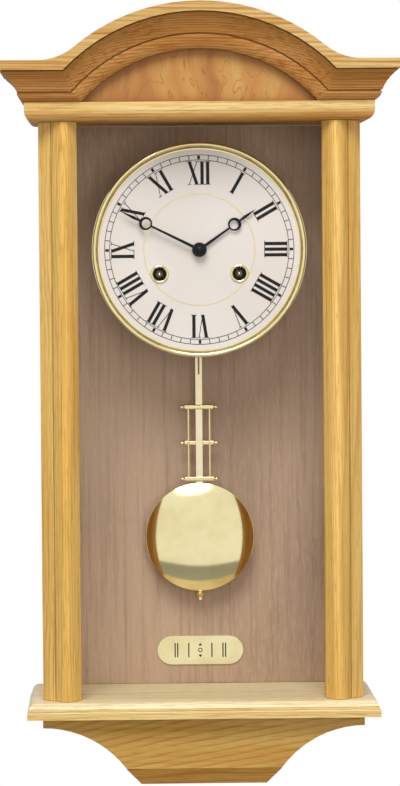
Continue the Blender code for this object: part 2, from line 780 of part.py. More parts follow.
def build_gong():
    """Coiled steel gong held at its outer end by an iron block."""
    line = gong_line()
    print(f"gong: least gap between turns {1000 * least_gap(line, GONG_WIRE):.2f} mm")
    curve = bpy.data.curves.new("gong_coil", "CURVE")
    curve.dimensions = "3D"
    curve.bevel_depth = GONG_WIRE / 2
    curve.bevel_resolution = 1
    curve.use_fill_caps = True
    spline = curve.splines.new("POLY")
    spline.points.add(len(line) - 1)
    for point, place in zip(spline.points, line):
        point.co = (*place, 1.0)
    curve.materials.append(finish("steel"))
    bpy.context.scene.collection.objects.link(bpy.data.objects.new("gong_coil", curve))
    foot = line[-1][2] + GAP
    half = GONG_BLOCK / 2
    low = (GONG_OUTER - half, -GONG_DEPTH - half, foot)
    high = (GONG_OUTER + half, PANEL_FACE - GAP, foot + GONG_BLOCK_HEIGHT)
    solid("gong_block", box(low, high), "iron")


# Movement: where each arbor stands in the plates
CENTRE = (0.0, 0.0)
TIME_BARREL = (WINDING_SPREAD / 2, -WINDING_DROP)
STRIKE_BARREL = (-WINDING_SPREAD / 2, -WINDING_DROP)


def mesh_distance(first, second, module):
    """Distance between two arbors whose wheel and pinion run together."""
    return (first + second) * module / 2


GREAT_REACH = mesh_distance(GREAT_TEETH, FIRST_LEAVES, GREAT_MODULE)
MINUTE_REACH = mesh_distance(CANNON_LEAVES, MINUTE_TEETH, MINUTE_MODULE)
HOUR_MODULE = 2 * MINUTE_REACH / (MINUTE_LEAVES + HOUR_TEETH)
INTERMEDIATE = circle_meeting(
    TIME_BARREL, GREAT_REACH, CENTRE, mesh_distance(INTERMEDIATE_TEETH, CENTRE_LEAVES, INTERMEDIATE_MODULE)
)
THIRD = polar(mesh_distance(CENTRE_TEETH, THIRD_LEAVES, CENTRE_MODULE), THIRD_BEARING)
ESCAPE_REACH = mesh_distance(THIRD_TEETH, ESCAPE_LEAVES, THIRD_MODULE)
ESCAPE = (0.0, THIRD[1] + math.sqrt(ESCAPE_REACH**2 - THIRD[0] ** 2))
ANCHOR = (0.0, ESCAPE[1] + ANCHOR_RISE)
MINUTE = polar(MINUTE_REACH, MINUTE_BEARING)
PIN = polar(GREAT_REACH, PIN_BEARING, STRIKE_BARREL)
FLY = polar(mesh_distance(PIN_TEETH, FLY_LEAVES, PIN_MODULE), FLY_BEARING, PIN)

# Hammer: it stands a little off the gong's outer turn and lifts away from it
GONG_PITCH = (GONG_OUTER - GONG_INNER) / GONG_TURNS
GONG_AT_HAMMER = GONG_OUTER - GONG_PITCH * (1 - HAMMER_BEARING / 360)
HAMMER_NOSE = GONG_AT_HAMMER + GONG_WIRE / 2 + HAMMER_REST_GAP
HAMMER_HEAD = polar(HAMMER_NOSE + HAMMER_HEAD_LENGTH / 2, HAMMER_BEARING, (0.0, GONG_Z))
HAMMER_PIVOT = polar(HAMMER_ARM, HAMMER_BEARING - 90, HAMMER_HEAD)

# Planes that the wheels run in, as the rear face of each wheel
GREAT_PLANE = BACK_PLATE_FRONT - GREAT_OFFSET
ESCAPE_PLANE = BACK_PLATE_FRONT - ESCAPE_OFFSET
MIDDLE_PLANE = BACK_PLATE_FRONT - MIDDLE_OFFSET
SECOND_PLANE = FRONT_PLATE_BACK + SECOND_OFFSET
CENTRE_PLANE = FRONT_PLATE_BACK + CENTRE_OFFSET
MINUTE_PLANE = FRONT_PLATE_FRONT - MINUTE_OFFSET
HOUR_PLANE = FRONT_PLATE_FRONT - HOUR_OFFSET

# Corners of a tooth, as (reach from the pitch circle in modules, share of the pitch)
WHEEL_TOOTH = ((-1.5, -0.5), (0.85, -0.1), (0.85, 0.1))
LEAF_TOOTH = ((-1.25, -0.2), (0.6, -0.08), (0.6, 0.08), (-1.25, 0.2))


def toothed(teeth, module, centre, phase, shape):
    """Outline of a wheel or a pinion with one tooth on the bearing of its phase."""
    pitch = 360 / teeth
    radius = teeth * module / 2
    points = []
    for i in range(teeth):
        for reach, share in shape:
            points.append(polar(radius + reach * module, phase + (i + share) * pitch, centre))
    return points


def circle(centre, radius, facets):
    """Outline of a round hole or disc."""
    half_step = 180 / facets
    return arc(centre, radius, half_step, 360 - half_step, facets - 1)


def crossings(centre, rim):
    """Openings between the spokes of a wheel."""
    openings = []
    outer = math.degrees(math.asin(SPOKE_WIDTH / 2 / rim))
    inner = math.degrees(math.asin(SPOKE_WIDTH / 2 / WHEEL_HUB))
    for i in range(SPOKES):
        first, last = 360 * i / SPOKES, 360 * (i + 1) / SPOKES
        opening = arc(centre, rim, first + outer, last - outer, 4)
        opening += arc(centre, WHEEL_HUB, last - inner, first + inner, 1)
        openings.append(opening)
    return openings


def wheel(teeth, module, centre, mate, plane, thickness=WHEEL_THICKNESS, crossed=True):
    """A spoked wheel with a tooth on the line to the arbor that it drives."""
    outline = toothed(teeth, module, centre, bearing_to(centre, mate), WHEEL_TOOTH)
    rim = (teeth / 2 - RIM_MODULES) * module
    openings = crossings(centre, rim) if crossed else []
    return prism([outline] + openings, plane, plane - thickness)


def pinion(leaves, module, centre, mate, plane, thickness=WHEEL_THICKNESS, bore=0.0):
    """A pinion with a space on the line to the wheel that it runs with, centred on that wheel's rim."""
    outline = toothed(leaves, module, centre, bearing_to(centre, mate) + 180 / leaves, LEAF_TOOTH)
    middle = plane - thickness / 2
    holes = [circle(centre, bore, TINY)] if bore else []
    return prism([outline] + holes, middle + LEAF_LENGTH / 2, middle - LEAF_LENGTH / 2)


def arbor(centre, radius=ARBOR_RADIUS):
    """A steel arbor between the plates, with a pivot in each."""
    back, front = BACK_PLATE_FRONT - GAP, FRONT_PLATE_BACK + GAP
    profile = [
        (PIVOT_PIN, -PLATE_DEPTH),
        (PIVOT_PIN, back),
        (radius, back),
        (radius, front),
        (PIVOT_PIN, front),
        (PIVOT_PIN, FRONT_PLATE_FRONT),
    ]
    return turned(profile, TINY, (centre[0], 0.0, centre[1]))


def strut(start, end, radius, facets):
    """A round bar between any two points."""
    a, b = Vector(start), Vector(end)
    along = (b - a).normalized()
    across = along.orthogonal().normalized()
    other = along.cross(across)
    turns = [2 * math.pi * i / facets for i in range(facets)]
    spokes = [(across * math.cos(t) + other * math.sin(t)) * radius for t in turns]
    return loft([[a + s for s in spokes], [b + s for s in spokes]])


def build_plates():
    """Back plate with its riveted pillars and hammer stud, and front plate with the motion work's stud."""
    half = PLATE_WIDTH / 2
    outline = [(-half, PLATE_BOTTOM), (half, PLATE_BOTTOM), (half, PLATE_TOP), (-half, PLATE_TOP)]
    pivots = [INTERMEDIATE, THIRD, ESCAPE, PIN, FLY]
    holes = [circle(place, PIVOT_PIN + GAP, TINY) for place in pivots]
    barrels = [circle(place, WINDING_PIVOT + GAP, SMALL) for place in (TIME_BARREL, STRIKE_BARREL)]
    back_holes = [circle(CENTRE, PIVOT_PIN + GAP, TINY), circle(ANCHOR, ARBOR_RADIUS + GAP, TINY)]
    front_holes = [circle(CENTRE, CENTRE_ARBOR + GAP, TINY), circle(ANCHOR, PIVOT_PIN + GAP, TINY)]
    rear = prism([outline] + holes + barrels + back_holes, -PLATE_DEPTH, BACK_PLATE_FRONT)
    back = solid("back_plate", rear, "brass")
    sunk = -PLATE_DEPTH - PLATE_THICKNESS / 2
    x = half - PILLAR_INSET
    for z in (PLATE_BOTTOM + PILLAR_INSET, PLATE_TOP - PILLAR_INSET):
        for side in (-1, 1):
            join(back, rod(PILLAR_RADIUS, FRONT_PLATE_BACK + GAP, sunk, SMALL, (side * x, z)))
    stud_end = -GONG_DEPTH + HAMMER_STUD
    join(back, rod(HAMMER_STUD, sunk, stud_end, SMALL, HAMMER_PIVOT))
    fore = prism([outline] + holes + barrels + front_holes, FRONT_PLATE_BACK, FRONT_PLATE_FRONT)
    front = solid("front_plate", fore, "brass")
    stud_foot = FRONT_PLATE_BACK - PLATE_THICKNESS / 2
    join(front, rod(MINUTE_STUD, HOUR_PLANE - LEAF_LENGTH, stud_foot, TINY, MINUTE))


def build_brackets():
    """Folded steel brackets that carry the movement off the back panel."""
    start, end = PANEL_FACE - GAP, GAP - PLATE_DEPTH
    sheet = BRACKET_SHEET
    for name, side in (("left", -1), ("right", 1)):
        inner, outer = PLATE_WIDTH / 2 - BRACKET_WIDTH, PLATE_WIDTH / 2
        plan = [
            (inner, start),
            (outer, start),
            (outer, start - sheet),
            (inner + sheet, start - sheet),
            (inner + sheet, end + sheet),
            (outer, end + sheet),
            (outer, end),
            (inner, end),
        ]
        channel = prism([[(side * u, v) for u, v in plan]], BRACKET_Z, BRACKET_Z + BRACKET_HEIGHT, "XY")
        solid(f"movement_bracket_{name}", channel, "steel")


def build_going_train():
    """Barrel, intermediate, centre, third and escape wheels, each with the pinion of its own arbor."""
    for name, place in (
        ("time_barrel", TIME_BARREL),
        ("intermediate", INTERMEDIATE),
        ("centre", CENTRE),
        ("third", THIRD),
        ("escape", ESCAPE),
    ):
        axis_at(name, place[0], 0.0, place[1])
    build_barrel("time", TIME_BARREL, INTERMEDIATE)
    join(
        solid("intermediate_wheel", arbor(INTERMEDIATE), "brass", "intermediate"),
        pinion(FIRST_LEAVES, GREAT_MODULE, INTERMEDIATE, TIME_BARREL, GREAT_PLANE, GREAT_THICKNESS),
        wheel(INTERMEDIATE_TEETH, INTERMEDIATE_MODULE, INTERMEDIATE, CENTRE, SECOND_PLANE),
    )
    front = MINUTE_HAND_BACK - HAND_THICKNESS
    back = BACK_PLATE_FRONT - GAP
    profile = [(PIVOT_PIN, -PLATE_DEPTH), (PIVOT_PIN, back), (CENTRE_ARBOR, back), (CENTRE_ARBOR, front)]
    join(
        solid("centre_wheel", turned(profile, TINY), "brass", "centre"),
        pinion(CENTRE_LEAVES, INTERMEDIATE_MODULE, CENTRE, INTERMEDIATE, SECOND_PLANE),
        wheel(CENTRE_TEETH, CENTRE_MODULE, CENTRE, THIRD, CENTRE_PLANE),
    )
    join(
        solid("third_wheel", arbor(THIRD), "brass", "third"),
        pinion(THIRD_LEAVES, CENTRE_MODULE, THIRD, CENTRE, CENTRE_PLANE),
        wheel(THIRD_TEETH, THIRD_MODULE, THIRD, ESCAPE, MIDDLE_PLANE),
    )
    pitch = 360 / ESCAPE_TEETH
    teeth = []
    for i in range(ESCAPE_TEETH):
        teeth.append(polar(ESCAPE_RADIUS, i * pitch, ESCAPE))
        teeth.append(polar(ESCAPE_RADIUS, (i + 0.1) * pitch, ESCAPE))
        teeth.append(polar(ESCAPE_RADIUS - ESCAPE_TOOTH, (i + 0.5) * pitch, ESCAPE))
    openings = crossings(ESCAPE, ESCAPE_RIM)
    join(
        solid("escape_wheel", arbor(ESCAPE), "brass", "escape"),
        pinion(ESCAPE_LEAVES, THIRD_MODULE, ESCAPE, THIRD, MIDDLE_PLANE),
        prism([teeth] + openings, ESCAPE_PLANE, ESCAPE_PLANE - WHEEL_THICKNESS),
    )


def build_barrel(name, centre, mate):
    """Spring barrel with its great wheel, and the squared arbor that winds it."""
    bore = WINDING_ARBOR + GAP
    drum_back = GREAT_PLANE - GREAT_THICKNESS
    drum_front = drum_back - DRUM_LENGTH
    section = [(bore, drum_back), (DRUM_RADIUS, drum_back), (DRUM_RADIUS, drum_front), (bore, drum_front)]
    middle = (centre[0], 0.0, centre[1])
    drum = solid(f"{name}_barrel", turned(section, FINE // 2, middle, hollow=True), "brass", f"{name}_barrel")
    outline = toothed(GREAT_TEETH, GREAT_MODULE, centre, bearing_to(centre, mate), WHEEL_TOOTH)
    hub = circle(centre, GREAT_BORE, ROUND)
    join(drum, prism([outline, hub], GREAT_PLANE, drum_back - WHEEL_THICKNESS))
    axis_at(f"{name}_winding", centre[0], 0.0, centre[1])
    back, front = BACK_PLATE_FRONT - GAP, FRONT_PLATE_BACK + GAP
    square_foot = FRONT_PLATE_FRONT - GAP
    profile = [
        (WINDING_PIVOT, -PLATE_DEPTH),
        (WINDING_PIVOT, back),
        (WINDING_ARBOR, back),
        (WINDING_ARBOR, front),
        (WINDING_PIVOT, front),
        (WINDING_PIVOT, square_foot - WINDING_PIVOT / 2),
    ]
    key = solid(f"{name}_winding_arbor", turned(profile, SMALL, middle), "brass", f"{name}_winding")
    half = WINDING_SQUARE / 2
    tip = DIAL_FRONT + WINDING_SINK
    join(
        key,
        box((centre[0] - half, tip, centre[1] - half), (centre[0] + half, square_foot, centre[1] + half)),
    )


def build_motion_work():
    """Cannon pinion, minute wheel and hour wheel, which give the hour hand its twelfth part of a turn."""
    axis_at("minute_wheel", MINUTE[0], 0.0, MINUTE[1])
    axis_at("hour", 0.0, 0.0, 0.0)
    bore = CENTRE_ARBOR + GAP
    back = FRONT_PLATE_FRONT - GAP
    front = MINUTE_HAND_BACK - HAND_THICKNESS
    pipe = [(bore, back), (CANNON_PIPE, back), (CANNON_PIPE, front), (bore, front)]
    cannon = solid("cannon_pinion", turned(pipe, ROUND, hollow=True), "steel", "centre")
    wall = (bore + CANNON_PIPE) / 2
    join(cannon, pinion(CANNON_LEAVES, MINUTE_MODULE, CENTRE, MINUTE, MINUTE_PLANE, bore=wall))
    bore = MINUTE_STUD + GAP
    phase = bearing_to(MINUTE, CENTRE) + 180 / MINUTE_LEAVES
    outline = toothed(MINUTE_LEAVES, HOUR_MODULE, MINUTE, phase, LEAF_TOOTH)
    tip = HOUR_PLANE - LEAF_LENGTH / 2
    leaves = prism([outline, circle(MINUTE, bore, TINY)], MINUTE_PLANE + GAP, tip)
    minute = solid("minute_wheel", leaves, "brass", "minute_wheel")
    outline = toothed(MINUTE_TEETH, MINUTE_MODULE, MINUTE, bearing_to(MINUTE, CENTRE), WHEEL_TOOTH)
    hub = circle(MINUTE, bore + GAP, TINY)
    join(minute, prism([outline, hub], MINUTE_PLANE, MINUTE_PLANE - WHEEL_THICKNESS))
    bore = CANNON_PIPE + GAP
    back = HOUR_PLANE + GAP
    front = HOUR_HAND_BACK - HAND_THICKNESS
    pipe = [(bore, back), (HOUR_PIPE, back), (HOUR_PIPE, front), (bore, front)]
    hour = solid("hour_wheel", turned(pipe, ROUND, hollow=True), "brass", "hour")
    outline = toothed(HOUR_TEETH, HOUR_MODULE, CENTRE, bearing_to(CENTRE, MINUTE), WHEEL_TOOTH)
    hub = circle(CENTRE, (bore + HOUR_PIPE) / 2, ROUND)
    join(hour, prism([outline, hub], HOUR_PLANE, HOUR_PLANE - WHEEL_THICKNESS))


def build_strike_train():
    """Strike barrel, pin wheel that lifts the hammer, and the fly that holds the train's speed down."""
    for name, place in (("strike_barrel", STRIKE_BARREL), ("pin", PIN), ("fly", FLY)):
        axis_at(name, place[0], 0.0, place[1])
    build_barrel("strike", STRIKE_BARREL, PIN)
    pins = [polar(LIFTING_CIRCLE, 360 * (i + 0.5) / LIFTING_PINS, PIN) for i in range(LIFTING_PINS)]
    sunk = SECOND_PLANE - WHEEL_THICKNESS / 2
    disc = wheel(PIN_TEETH, PIN_MODULE, PIN, FLY, SECOND_PLANE, crossed=False)
    join(
        solid("pin_wheel", arbor(PIN), "brass", "pin"),
        pinion(FIRST_LEAVES, GREAT_MODULE, PIN, STRIKE_BARREL, GREAT_PLANE, GREAT_THICKNESS),
        disc,
        *[rod(LIFTING_PIN_RADIUS, sunk, SECOND_PLANE + LIFTING_PIN_LENGTH, TINY, place) for place in pins],
    )
    vane = FLY_VANE / 2
    low = (FLY[0] - FLY_RADIUS, ESCAPE_PLANE - FLY_LENGTH, FLY[1] - vane)
    high = (FLY[0] + FLY_RADIUS, ESCAPE_PLANE, FLY[1] + vane)
    join(
        solid("fly", arbor(FLY), "brass", "fly"),
        pinion(FLY_LEAVES, PIN_MODULE, FLY, PIN, SECOND_PLANE),
        box(low, high),
    )


def build_hammer():
    """Strike hammer on its stud behind the back plate."""
    axis_at("hammer", HAMMER_PIVOT[0], 0.0, HAMMER_PIVOT[1])
    depth = -GONG_DEPTH
    bore = HAMMER_STUD + GAP
    back, front = depth + HAMMER_STUD, depth - HAMMER_STUD
    section = [(bore, back), (HAMMER_HUB, back), (HAMMER_HUB, front), (bore, front)]
    middle = (HAMMER_PIVOT[0], 0.0, HAMMER_PIVOT[1])
    hammer = solid("hammer", turned(section, SMALL, middle, hollow=True), "brass", "hammer")
    nose = polar(HAMMER_NOSE, HAMMER_BEARING, (0.0, GONG_Z))
    tail = polar(HAMMER_NOSE + HAMMER_HEAD_LENGTH, HAMMER_BEARING, (0.0, GONG_Z))
    hub = polar((bore + HAMMER_HUB) / 2, HAMMER_BEARING + 90, HAMMER_PIVOT)
    join(
        hammer,
        strut((hub[0], depth, hub[1]), (HAMMER_HEAD[0], depth, HAMMER_HEAD[1]), HAMMER_ARM_RADIUS, TINY),
        strut((nose[0], depth, nose[1]), (tail[0], depth, tail[1]), HAMMER_HEAD_RADIUS, SMALL),
    )


# Escapement and pendulum
def build_anchor():
    """Anchor on its arbor and the crutch behind the back plate. The pallets clear the wheel."""
    axis_at("anchor", 0.0, 0.0, ANCHOR[1])
    crutch_back = COCK_FRONT - GAP
    profile = [
        (ARBOR_RADIUS, crutch_back),
        (ARBOR_RADIUS, FRONT_PLATE_BACK + GAP),
        (PIVOT_PIN, FRONT_PLATE_BACK + GAP),
        (PIVOT_PIN, FRONT_PLATE_FRONT),
    ]
    anchor = solid("anchor", turned(profile, SMALL, (0.0, 0.0, ANCHOR[1])), "steel", "anchor")
    inner = ESCAPE_RADIUS + ANCHOR_CLEARANCE
    boss = ANCHOR_RISE + ANCHOR_BOSS - inner
    steps = 15
    band = arc(ESCAPE, inner, 90 - ANCHOR_SPREAD, 90 + ANCHOR_SPREAD, steps)
    for i in range(steps, -1, -1):
        swing = ANCHOR_SPREAD * (2 * i / steps - 1)
        swell = max(0.0, math.cos(math.pi / 2 * swing / ANCHOR_SHOULDER)) ** 2
        band.append(polar(inner + ANCHOR_ARM + (boss - ANCHOR_ARM) * swell, 90 + swing, ESCAPE))
    middle = ESCAPE_PLANE - WHEEL_THICKNESS / 2
    half = CRUTCH_WIDTH / 2
    foot = ANCHOR[1] - CRUTCH_LENGTH
    crutch = [(-half, foot), (half, foot), (half, ANCHOR[1] + half), (-half, ANCHOR[1] + half)]
    pin = (0.0, foot + half)
    pin_end = ROD_THICKNESS / 2 - PENDULUM_DEPTH
    join(
        anchor,
        prism([band], middle + ANCHOR_THICKNESS / 2, middle - ANCHOR_THICKNESS / 2),
        prism([crutch], crutch_back - GAP, crutch_back - GAP - CRUTCH_SHEET),
        rod(ROD_SLOT / 2 - GAP, crutch_back - CRUTCH_SHEET, pin_end, TINY, pin),
    )


def build_suspension():
    """Cock on the back plate, and the spring that hangs in its slot and ends in a T-shaped chop."""
    half = COCK_WIDTH / 2
    leg = half - CRUTCH_WIDTH
    back = COCK_FRONT + COCK_ARM
    plan = [
        (-half, GAP - PLATE_DEPTH),
        (-leg, GAP - PLATE_DEPTH),
        (-leg, COCK_FRONT),
        (leg, COCK_FRONT),
        (leg, GAP - PLATE_DEPTH),
        (half, GAP - PLATE_DEPTH),
        (half, back),
        (-half, back),
    ]
    slot_half = SUSPENSION_STRIP / 2 + BLADE_GAP
    reach = SUSPENSION_WIDTH / 2 + BLADE_GAP
    near, far = -PENDULUM_DEPTH - reach, -PENDULUM_DEPTH + reach
    slot = [(-slot_half, near), (slot_half, near), (slot_half, far), (-slot_half, far)]
    low, high = ANCHOR[1] - COCK_HEIGHT / 2, ANCHOR[1] + COCK_HEIGHT / 2
    solid("suspension_cock", prism([plan, slot], low, high, "XY"), "brass")

    strip = SUSPENSION_STRIP / 2
    bar = SUSPENSION_BAR / 2
    rest = high + GAP
    head = rest + SUSPENSION_BAR_HEIGHT
    neck, foot = CHOP_NECK / 2, CHOP_FOOT / 2
    top = ANCHOR[1] - ROD_HEAD_DROP
    shoulder, bottom = top - CHOP_SHOULDER, top - CHOP_FLOOR
    right = [
        (foot - GAP, bottom + GAP),
        (foot - GAP, shoulder - GAP),
        (neck - GAP, shoulder - GAP),
        (neck - GAP, top),
        (strip, top + 2 * strip),
        (strip, rest),
        (bar, rest),
        (bar, head),
    ]
    outline = right + [(-x, z) for x, z in reversed(right)]
    width = SUSPENSION_WIDTH / 2
    strip_and_chop = prism([outline], -PENDULUM_DEPTH - width, -PENDULUM_DEPTH + width)
    solid("suspension_spring", strip_and_chop, "steel", "pendulum")


def build_pendulum():
    """Slotted flat rod, bob and rating nut."""
    neck, foot = CHOP_NECK / 2, CHOP_FOOT / 2
    top = ANCHOR[1] - ROD_HEAD_DROP
    shoulder, floor = top - CHOP_SHOULDER, top - CHOP_FLOOR
    base = top - ROD_HEAD_HEIGHT
    head, half = ROD_HEAD_WIDTH / 2, ROD_WIDTH / 2
    bob_bottom = BOB_Z - BOB_RADIUS
    end = bob_bottom - RATING_NUT_HEIGHT
    tip = ROD_THICKNESS / 2
    right = [
        (foot, floor),
        (foot, shoulder),
        (neck, shoulder),
        (neck, top),
        (head, top),
        (head, base + half),
        (half, base),
        (half, bob_bottom + half),
        (tip, bob_bottom),
        (tip, end),
    ]
    outline = right + [(-x, z) for x, z in reversed(right)]
    slot = ROD_SLOT / 2
    slot_top = base - half
    opening = [(-slot, ROD_SLOT_END), (slot, ROD_SLOT_END), (slot, slot_top), (-slot, slot_top)]
    front, back = -PENDULUM_DEPTH - ROD_THICKNESS / 2, -PENDULUM_DEPTH + ROD_THICKNESS / 2
    solid("pendulum_rod", prism([outline, opening], front, back), "brass", "pendulum")

    steps = 4
    edge, crown = BOB_EDGE / 2, BOB_THICKNESS / 2
    shares = [i / steps for i in range(steps + 1)]
    face = [(BOB_RADIUS * s, edge + (crown - edge) * (1 - s**2)) for s in shares]
    lens = [(r, -d) for r, d in face] + [(r, d) for r, d in reversed(face)]
    bob = solid("bob", turned(lens, FINE, (0.0, -PENDULUM_DEPTH, BOB_Z)), "brass", "pendulum")
    reach = BOB_RADIUS + BOB_EDGE
    low, high = (-half - GAP, front - GAP, BOB_Z - reach), (half + GAP, back + GAP, BOB_Z + reach)
    cut(bob, box(low, high))
    bore = tip * math.sqrt(2) + GAP
    nut_top, nut_foot = bob_bottom - GAP, end + GAP
    rim_foot = nut_foot + RATING_NUT_HEIGHT / 2
    section = [
        (bore, nut_foot),
        (RATING_NUT_WAIST, nut_foot),
        (RATING_NUT_RADIUS, rim_foot),
        (RATING_NUT_RADIUS, rim_foot + RATING_NUT_RIM),
        (RATING_NUT_WAIST, nut_top),
        (bore, nut_top),
    ]
    nut = turned(section, ROUND, (0.0, -PENDULUM_DEPTH, 0.0), "Z", hollow=True)
    solid("rating_nut", nut, "brass", "pendulum")


def build_gridiron():
    """Two side rods and three cross bars with ball ends, let in round the flat rod by turns."""
    x = SIDE_ROD_SPREAD / 2
    depth = -PENDULUM_DEPTH
    levels = [BOB_Z + BOB_RADIUS + BAR_REST + BAR_PITCH * i for i in (2, 1, 0)]
    low, high = levels[-1] - BAR_HEIGHT / 2, levels[0] + BAR_HEIGHT / 2
    foot, head = low - SIDE_ROD_RADIUS, high + SIDE_ROD_RADIUS
    side_rods = [rod(SIDE_ROD_RADIUS, foot, head, TINY, (side * x, depth), "Z") for side in (-1, 1)]
    grid = solid("gridiron", side_rods[0], "brass", "pendulum")
    join(grid, side_rods[1])
    half = BAR_LENGTH / 2
    notch = ROD_WIDTH / 2 + GAP
    for i, level in enumerate(levels):
        facing = 1 if i % 2 else -1
        step = ROD_THICKNESS / 2 + GAP
        outer = step + BAR_THICKNESS
        plan = [(-half, outer), (-half, 0.0), (-notch, 0.0), (-notch, step)]
        plan += [(-u, v) for u, v in reversed(plan)]
        placed = [(u, depth + facing * v) for u, v in plan]
        join(grid, prism([placed], level - BAR_HEIGHT / 2, level + BAR_HEIGHT / 2, "XY"))
        ball = BAR_BALL / 2
        steps = 5
        turns = [math.pi * k / steps for k in range(1, steps + 1)]
        profile = [(ball * math.sin(t), -ball * math.cos(t)) for t in turns]
        profile = [(BAR_NECK, -ball - BAR_NECK), (BAR_NECK, -ball)] + profile
        for side in (-1, 1):
            centre = (side * (half + ball + BAR_NECK / 2), depth + facing * outer / 2, level)
            join(grid, turned([(r, side * along) for r, along in profile], TINY, centre, "X"))


# Dial and hands
def build_dial():
    """Round dial on four feet, its bezel and the grommets of the two winding holes."""
    winding = (TIME_BARREL, STRIKE_BARREL)
    tube = (GROMMET_BORE + GROMMET_RADIUS) / 2 - GAP
    outlines = [circle(CENTRE, DIAL_RADIUS, FINE), circle(CENTRE, HOUR_PIPE + GAP, ROUND)]
    outlines += [circle(place, tube + GAP, ROUND) for place in winding]
    dial = solid("dial_plate", prism(outlines, -DIAL_DEPTH, DIAL_FRONT), "dial_paint")
    sunk = -DIAL_DEPTH - DIAL_THICKNESS / 2
    for bearing in (45, 135, 225, 315):
        foot = polar(DIAL_FOOT_CIRCLE, bearing)
        join(dial, rod(DIAL_FOOT_RADIUS, sunk, FRONT_PLATE_FRONT - GAP, SMALL, foot))
    for name, place in (("left", STRIKE_BARREL), ("right", TIME_BARREL)):
        face = DIAL_FRONT - GAP
        section = [
            (GROMMET_BORE, -DIAL_DEPTH),
            (tube, -DIAL_DEPTH),
            (tube, face),
            (GROMMET_RADIUS, face),
            (GROMMET_RADIUS - GROMMET_LIP / 2, face - GROMMET_LIP),
            (GROMMET_BORE, face - GROMMET_LIP),
        ]
        ring = turned(section, ROUND, (place[0], 0.0, place[1]), hollow=True)
        solid(f"grommet_{name}", ring, "brass")
    seat = DIAL_RADIUS + GAP
    rear = GROMMET_LIP - DIAL_DEPTH
    lip = DIAL_FRONT - GAP
    section = [(BEZEL_OPENING, lip), (seat, lip), (seat, rear), (BEZEL_RADIUS, rear)]
    roll = arc(((BEZEL_RADIUS + BEZEL_OPENING) / 2, lip), BEZEL_WIDTH / 2, 0, -180, 6)[:-1]
    section += [(r, lip + (y - lip) * BEZEL_DEPTH / BEZEL_WIDTH) for r, y in roll]
    solid("dial_bezel", turned(section, FINE, hollow=True), "brass")


def hand_outline(ring_at, tip):
    """A ring hand pointing up: boss, tapering shaft, ring and leaf-shaped tip."""
    root, neck = HAND_ROOT_WIDTH / 2, HAND_NECK_WIDTH / 2
    shoulder = math.degrees(math.asin(root / HAND_BOSS))
    lower = math.degrees(math.asin(neck / RING_RADIUS))
    centre = (0.0, ring_at)
    leaf = ring_at + RING_RADIUS + HAND_LEAF
    right = arc(CENTRE, HAND_BOSS, -90, 90 - shoulder, 8)
    right += arc(centre, RING_RADIUS, -90 + lower, 90 - lower, 8)
    right += [(root, leaf), (0.0, tip)]
    return right + [(-x, z) for x, z in reversed(right[1:-1])]


def build_hands():
    """Hour hand on the hour wheel's pipe, minute hand on the cannon pipe, and the nut that holds them."""
    ring_rise = (RING_RADIUS - RING_HOLE) / 3
    hour_turn, minute_turn = 30 * HOUR_SHOWN + MINUTES_SHOWN / 2, 6 * MINUTES_SHOWN
    for name, axis, ring_at, tip, bore, back, turn in (
        ("hour_hand", "hour", HOUR_RING_AT, HOUR_TIP, HOUR_PIPE, HOUR_HAND_BACK, hour_turn),
        ("minute_hand", "centre", MINUTE_RING_AT, MINUTE_TIP, CANNON_PIPE, MINUTE_HAND_BACK, minute_turn),
    ):
        outline = [
            hand_outline(ring_at, tip),
            circle(CENTRE, bore + GAP, ROUND),
            circle((0.0, ring_at - ring_rise), RING_HOLE, ROUND),
        ]
        solid(name, prism(outline, back, back - HAND_THICKNESS), "black_lacquer", axis, turn)
    foot = MINUTE_HAND_BACK - HAND_THICKNESS - GAP
    steps = 4
    turns = [math.pi / 2 * k / steps for k in range(steps + 1)]
    collar = foot - HAND_NUT_COLLAR
    dome = [(HAND_NUT_RADIUS * math.cos(t), collar - HAND_NUT_DOME * math.sin(t)) for t in turns]
    solid("hand_nut", turned([(HAND_NUT_RADIUS, foot)] + dome, ROUND), "black_lacquer", "centre")


def main():
    """Clears the scene and builds the clock."""
    for old in list(bpy.data.objects):
        bpy.data.objects.remove(old)
    build_back_panel()
    build_hanger()
    left = build_side("left", -1)
    build_side("right", 1)
    build_boards()
    build_cornice()
    build_apron()
    build_door()
    build_catch(left)
    build_beat_plate()
    build_gong()
    build_plates()
    build_brackets()
    build_going_train()
    build_motion_work()
    build_strike_train()
    build_hammer()
    axis_at("pendulum", 0.0, -PENDULUM_DEPTH, ANCHOR[1])
    build_anchor()
    build_suspension()
    build_pendulum()
    build_gridiron()
    build_dial()
    build_hands()


main()
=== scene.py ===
"""Looks of a regulator wall clock: oak, figured veneer, polished brass, a painted dial and clear glass.

Metres, +Z up, the front towards -Y, the wall in the plane y = 0 and the hands on the line x = 0, z = 0.
"""

import math

import bmesh
import bpy
from mathutils import Euler, Matrix, Vector


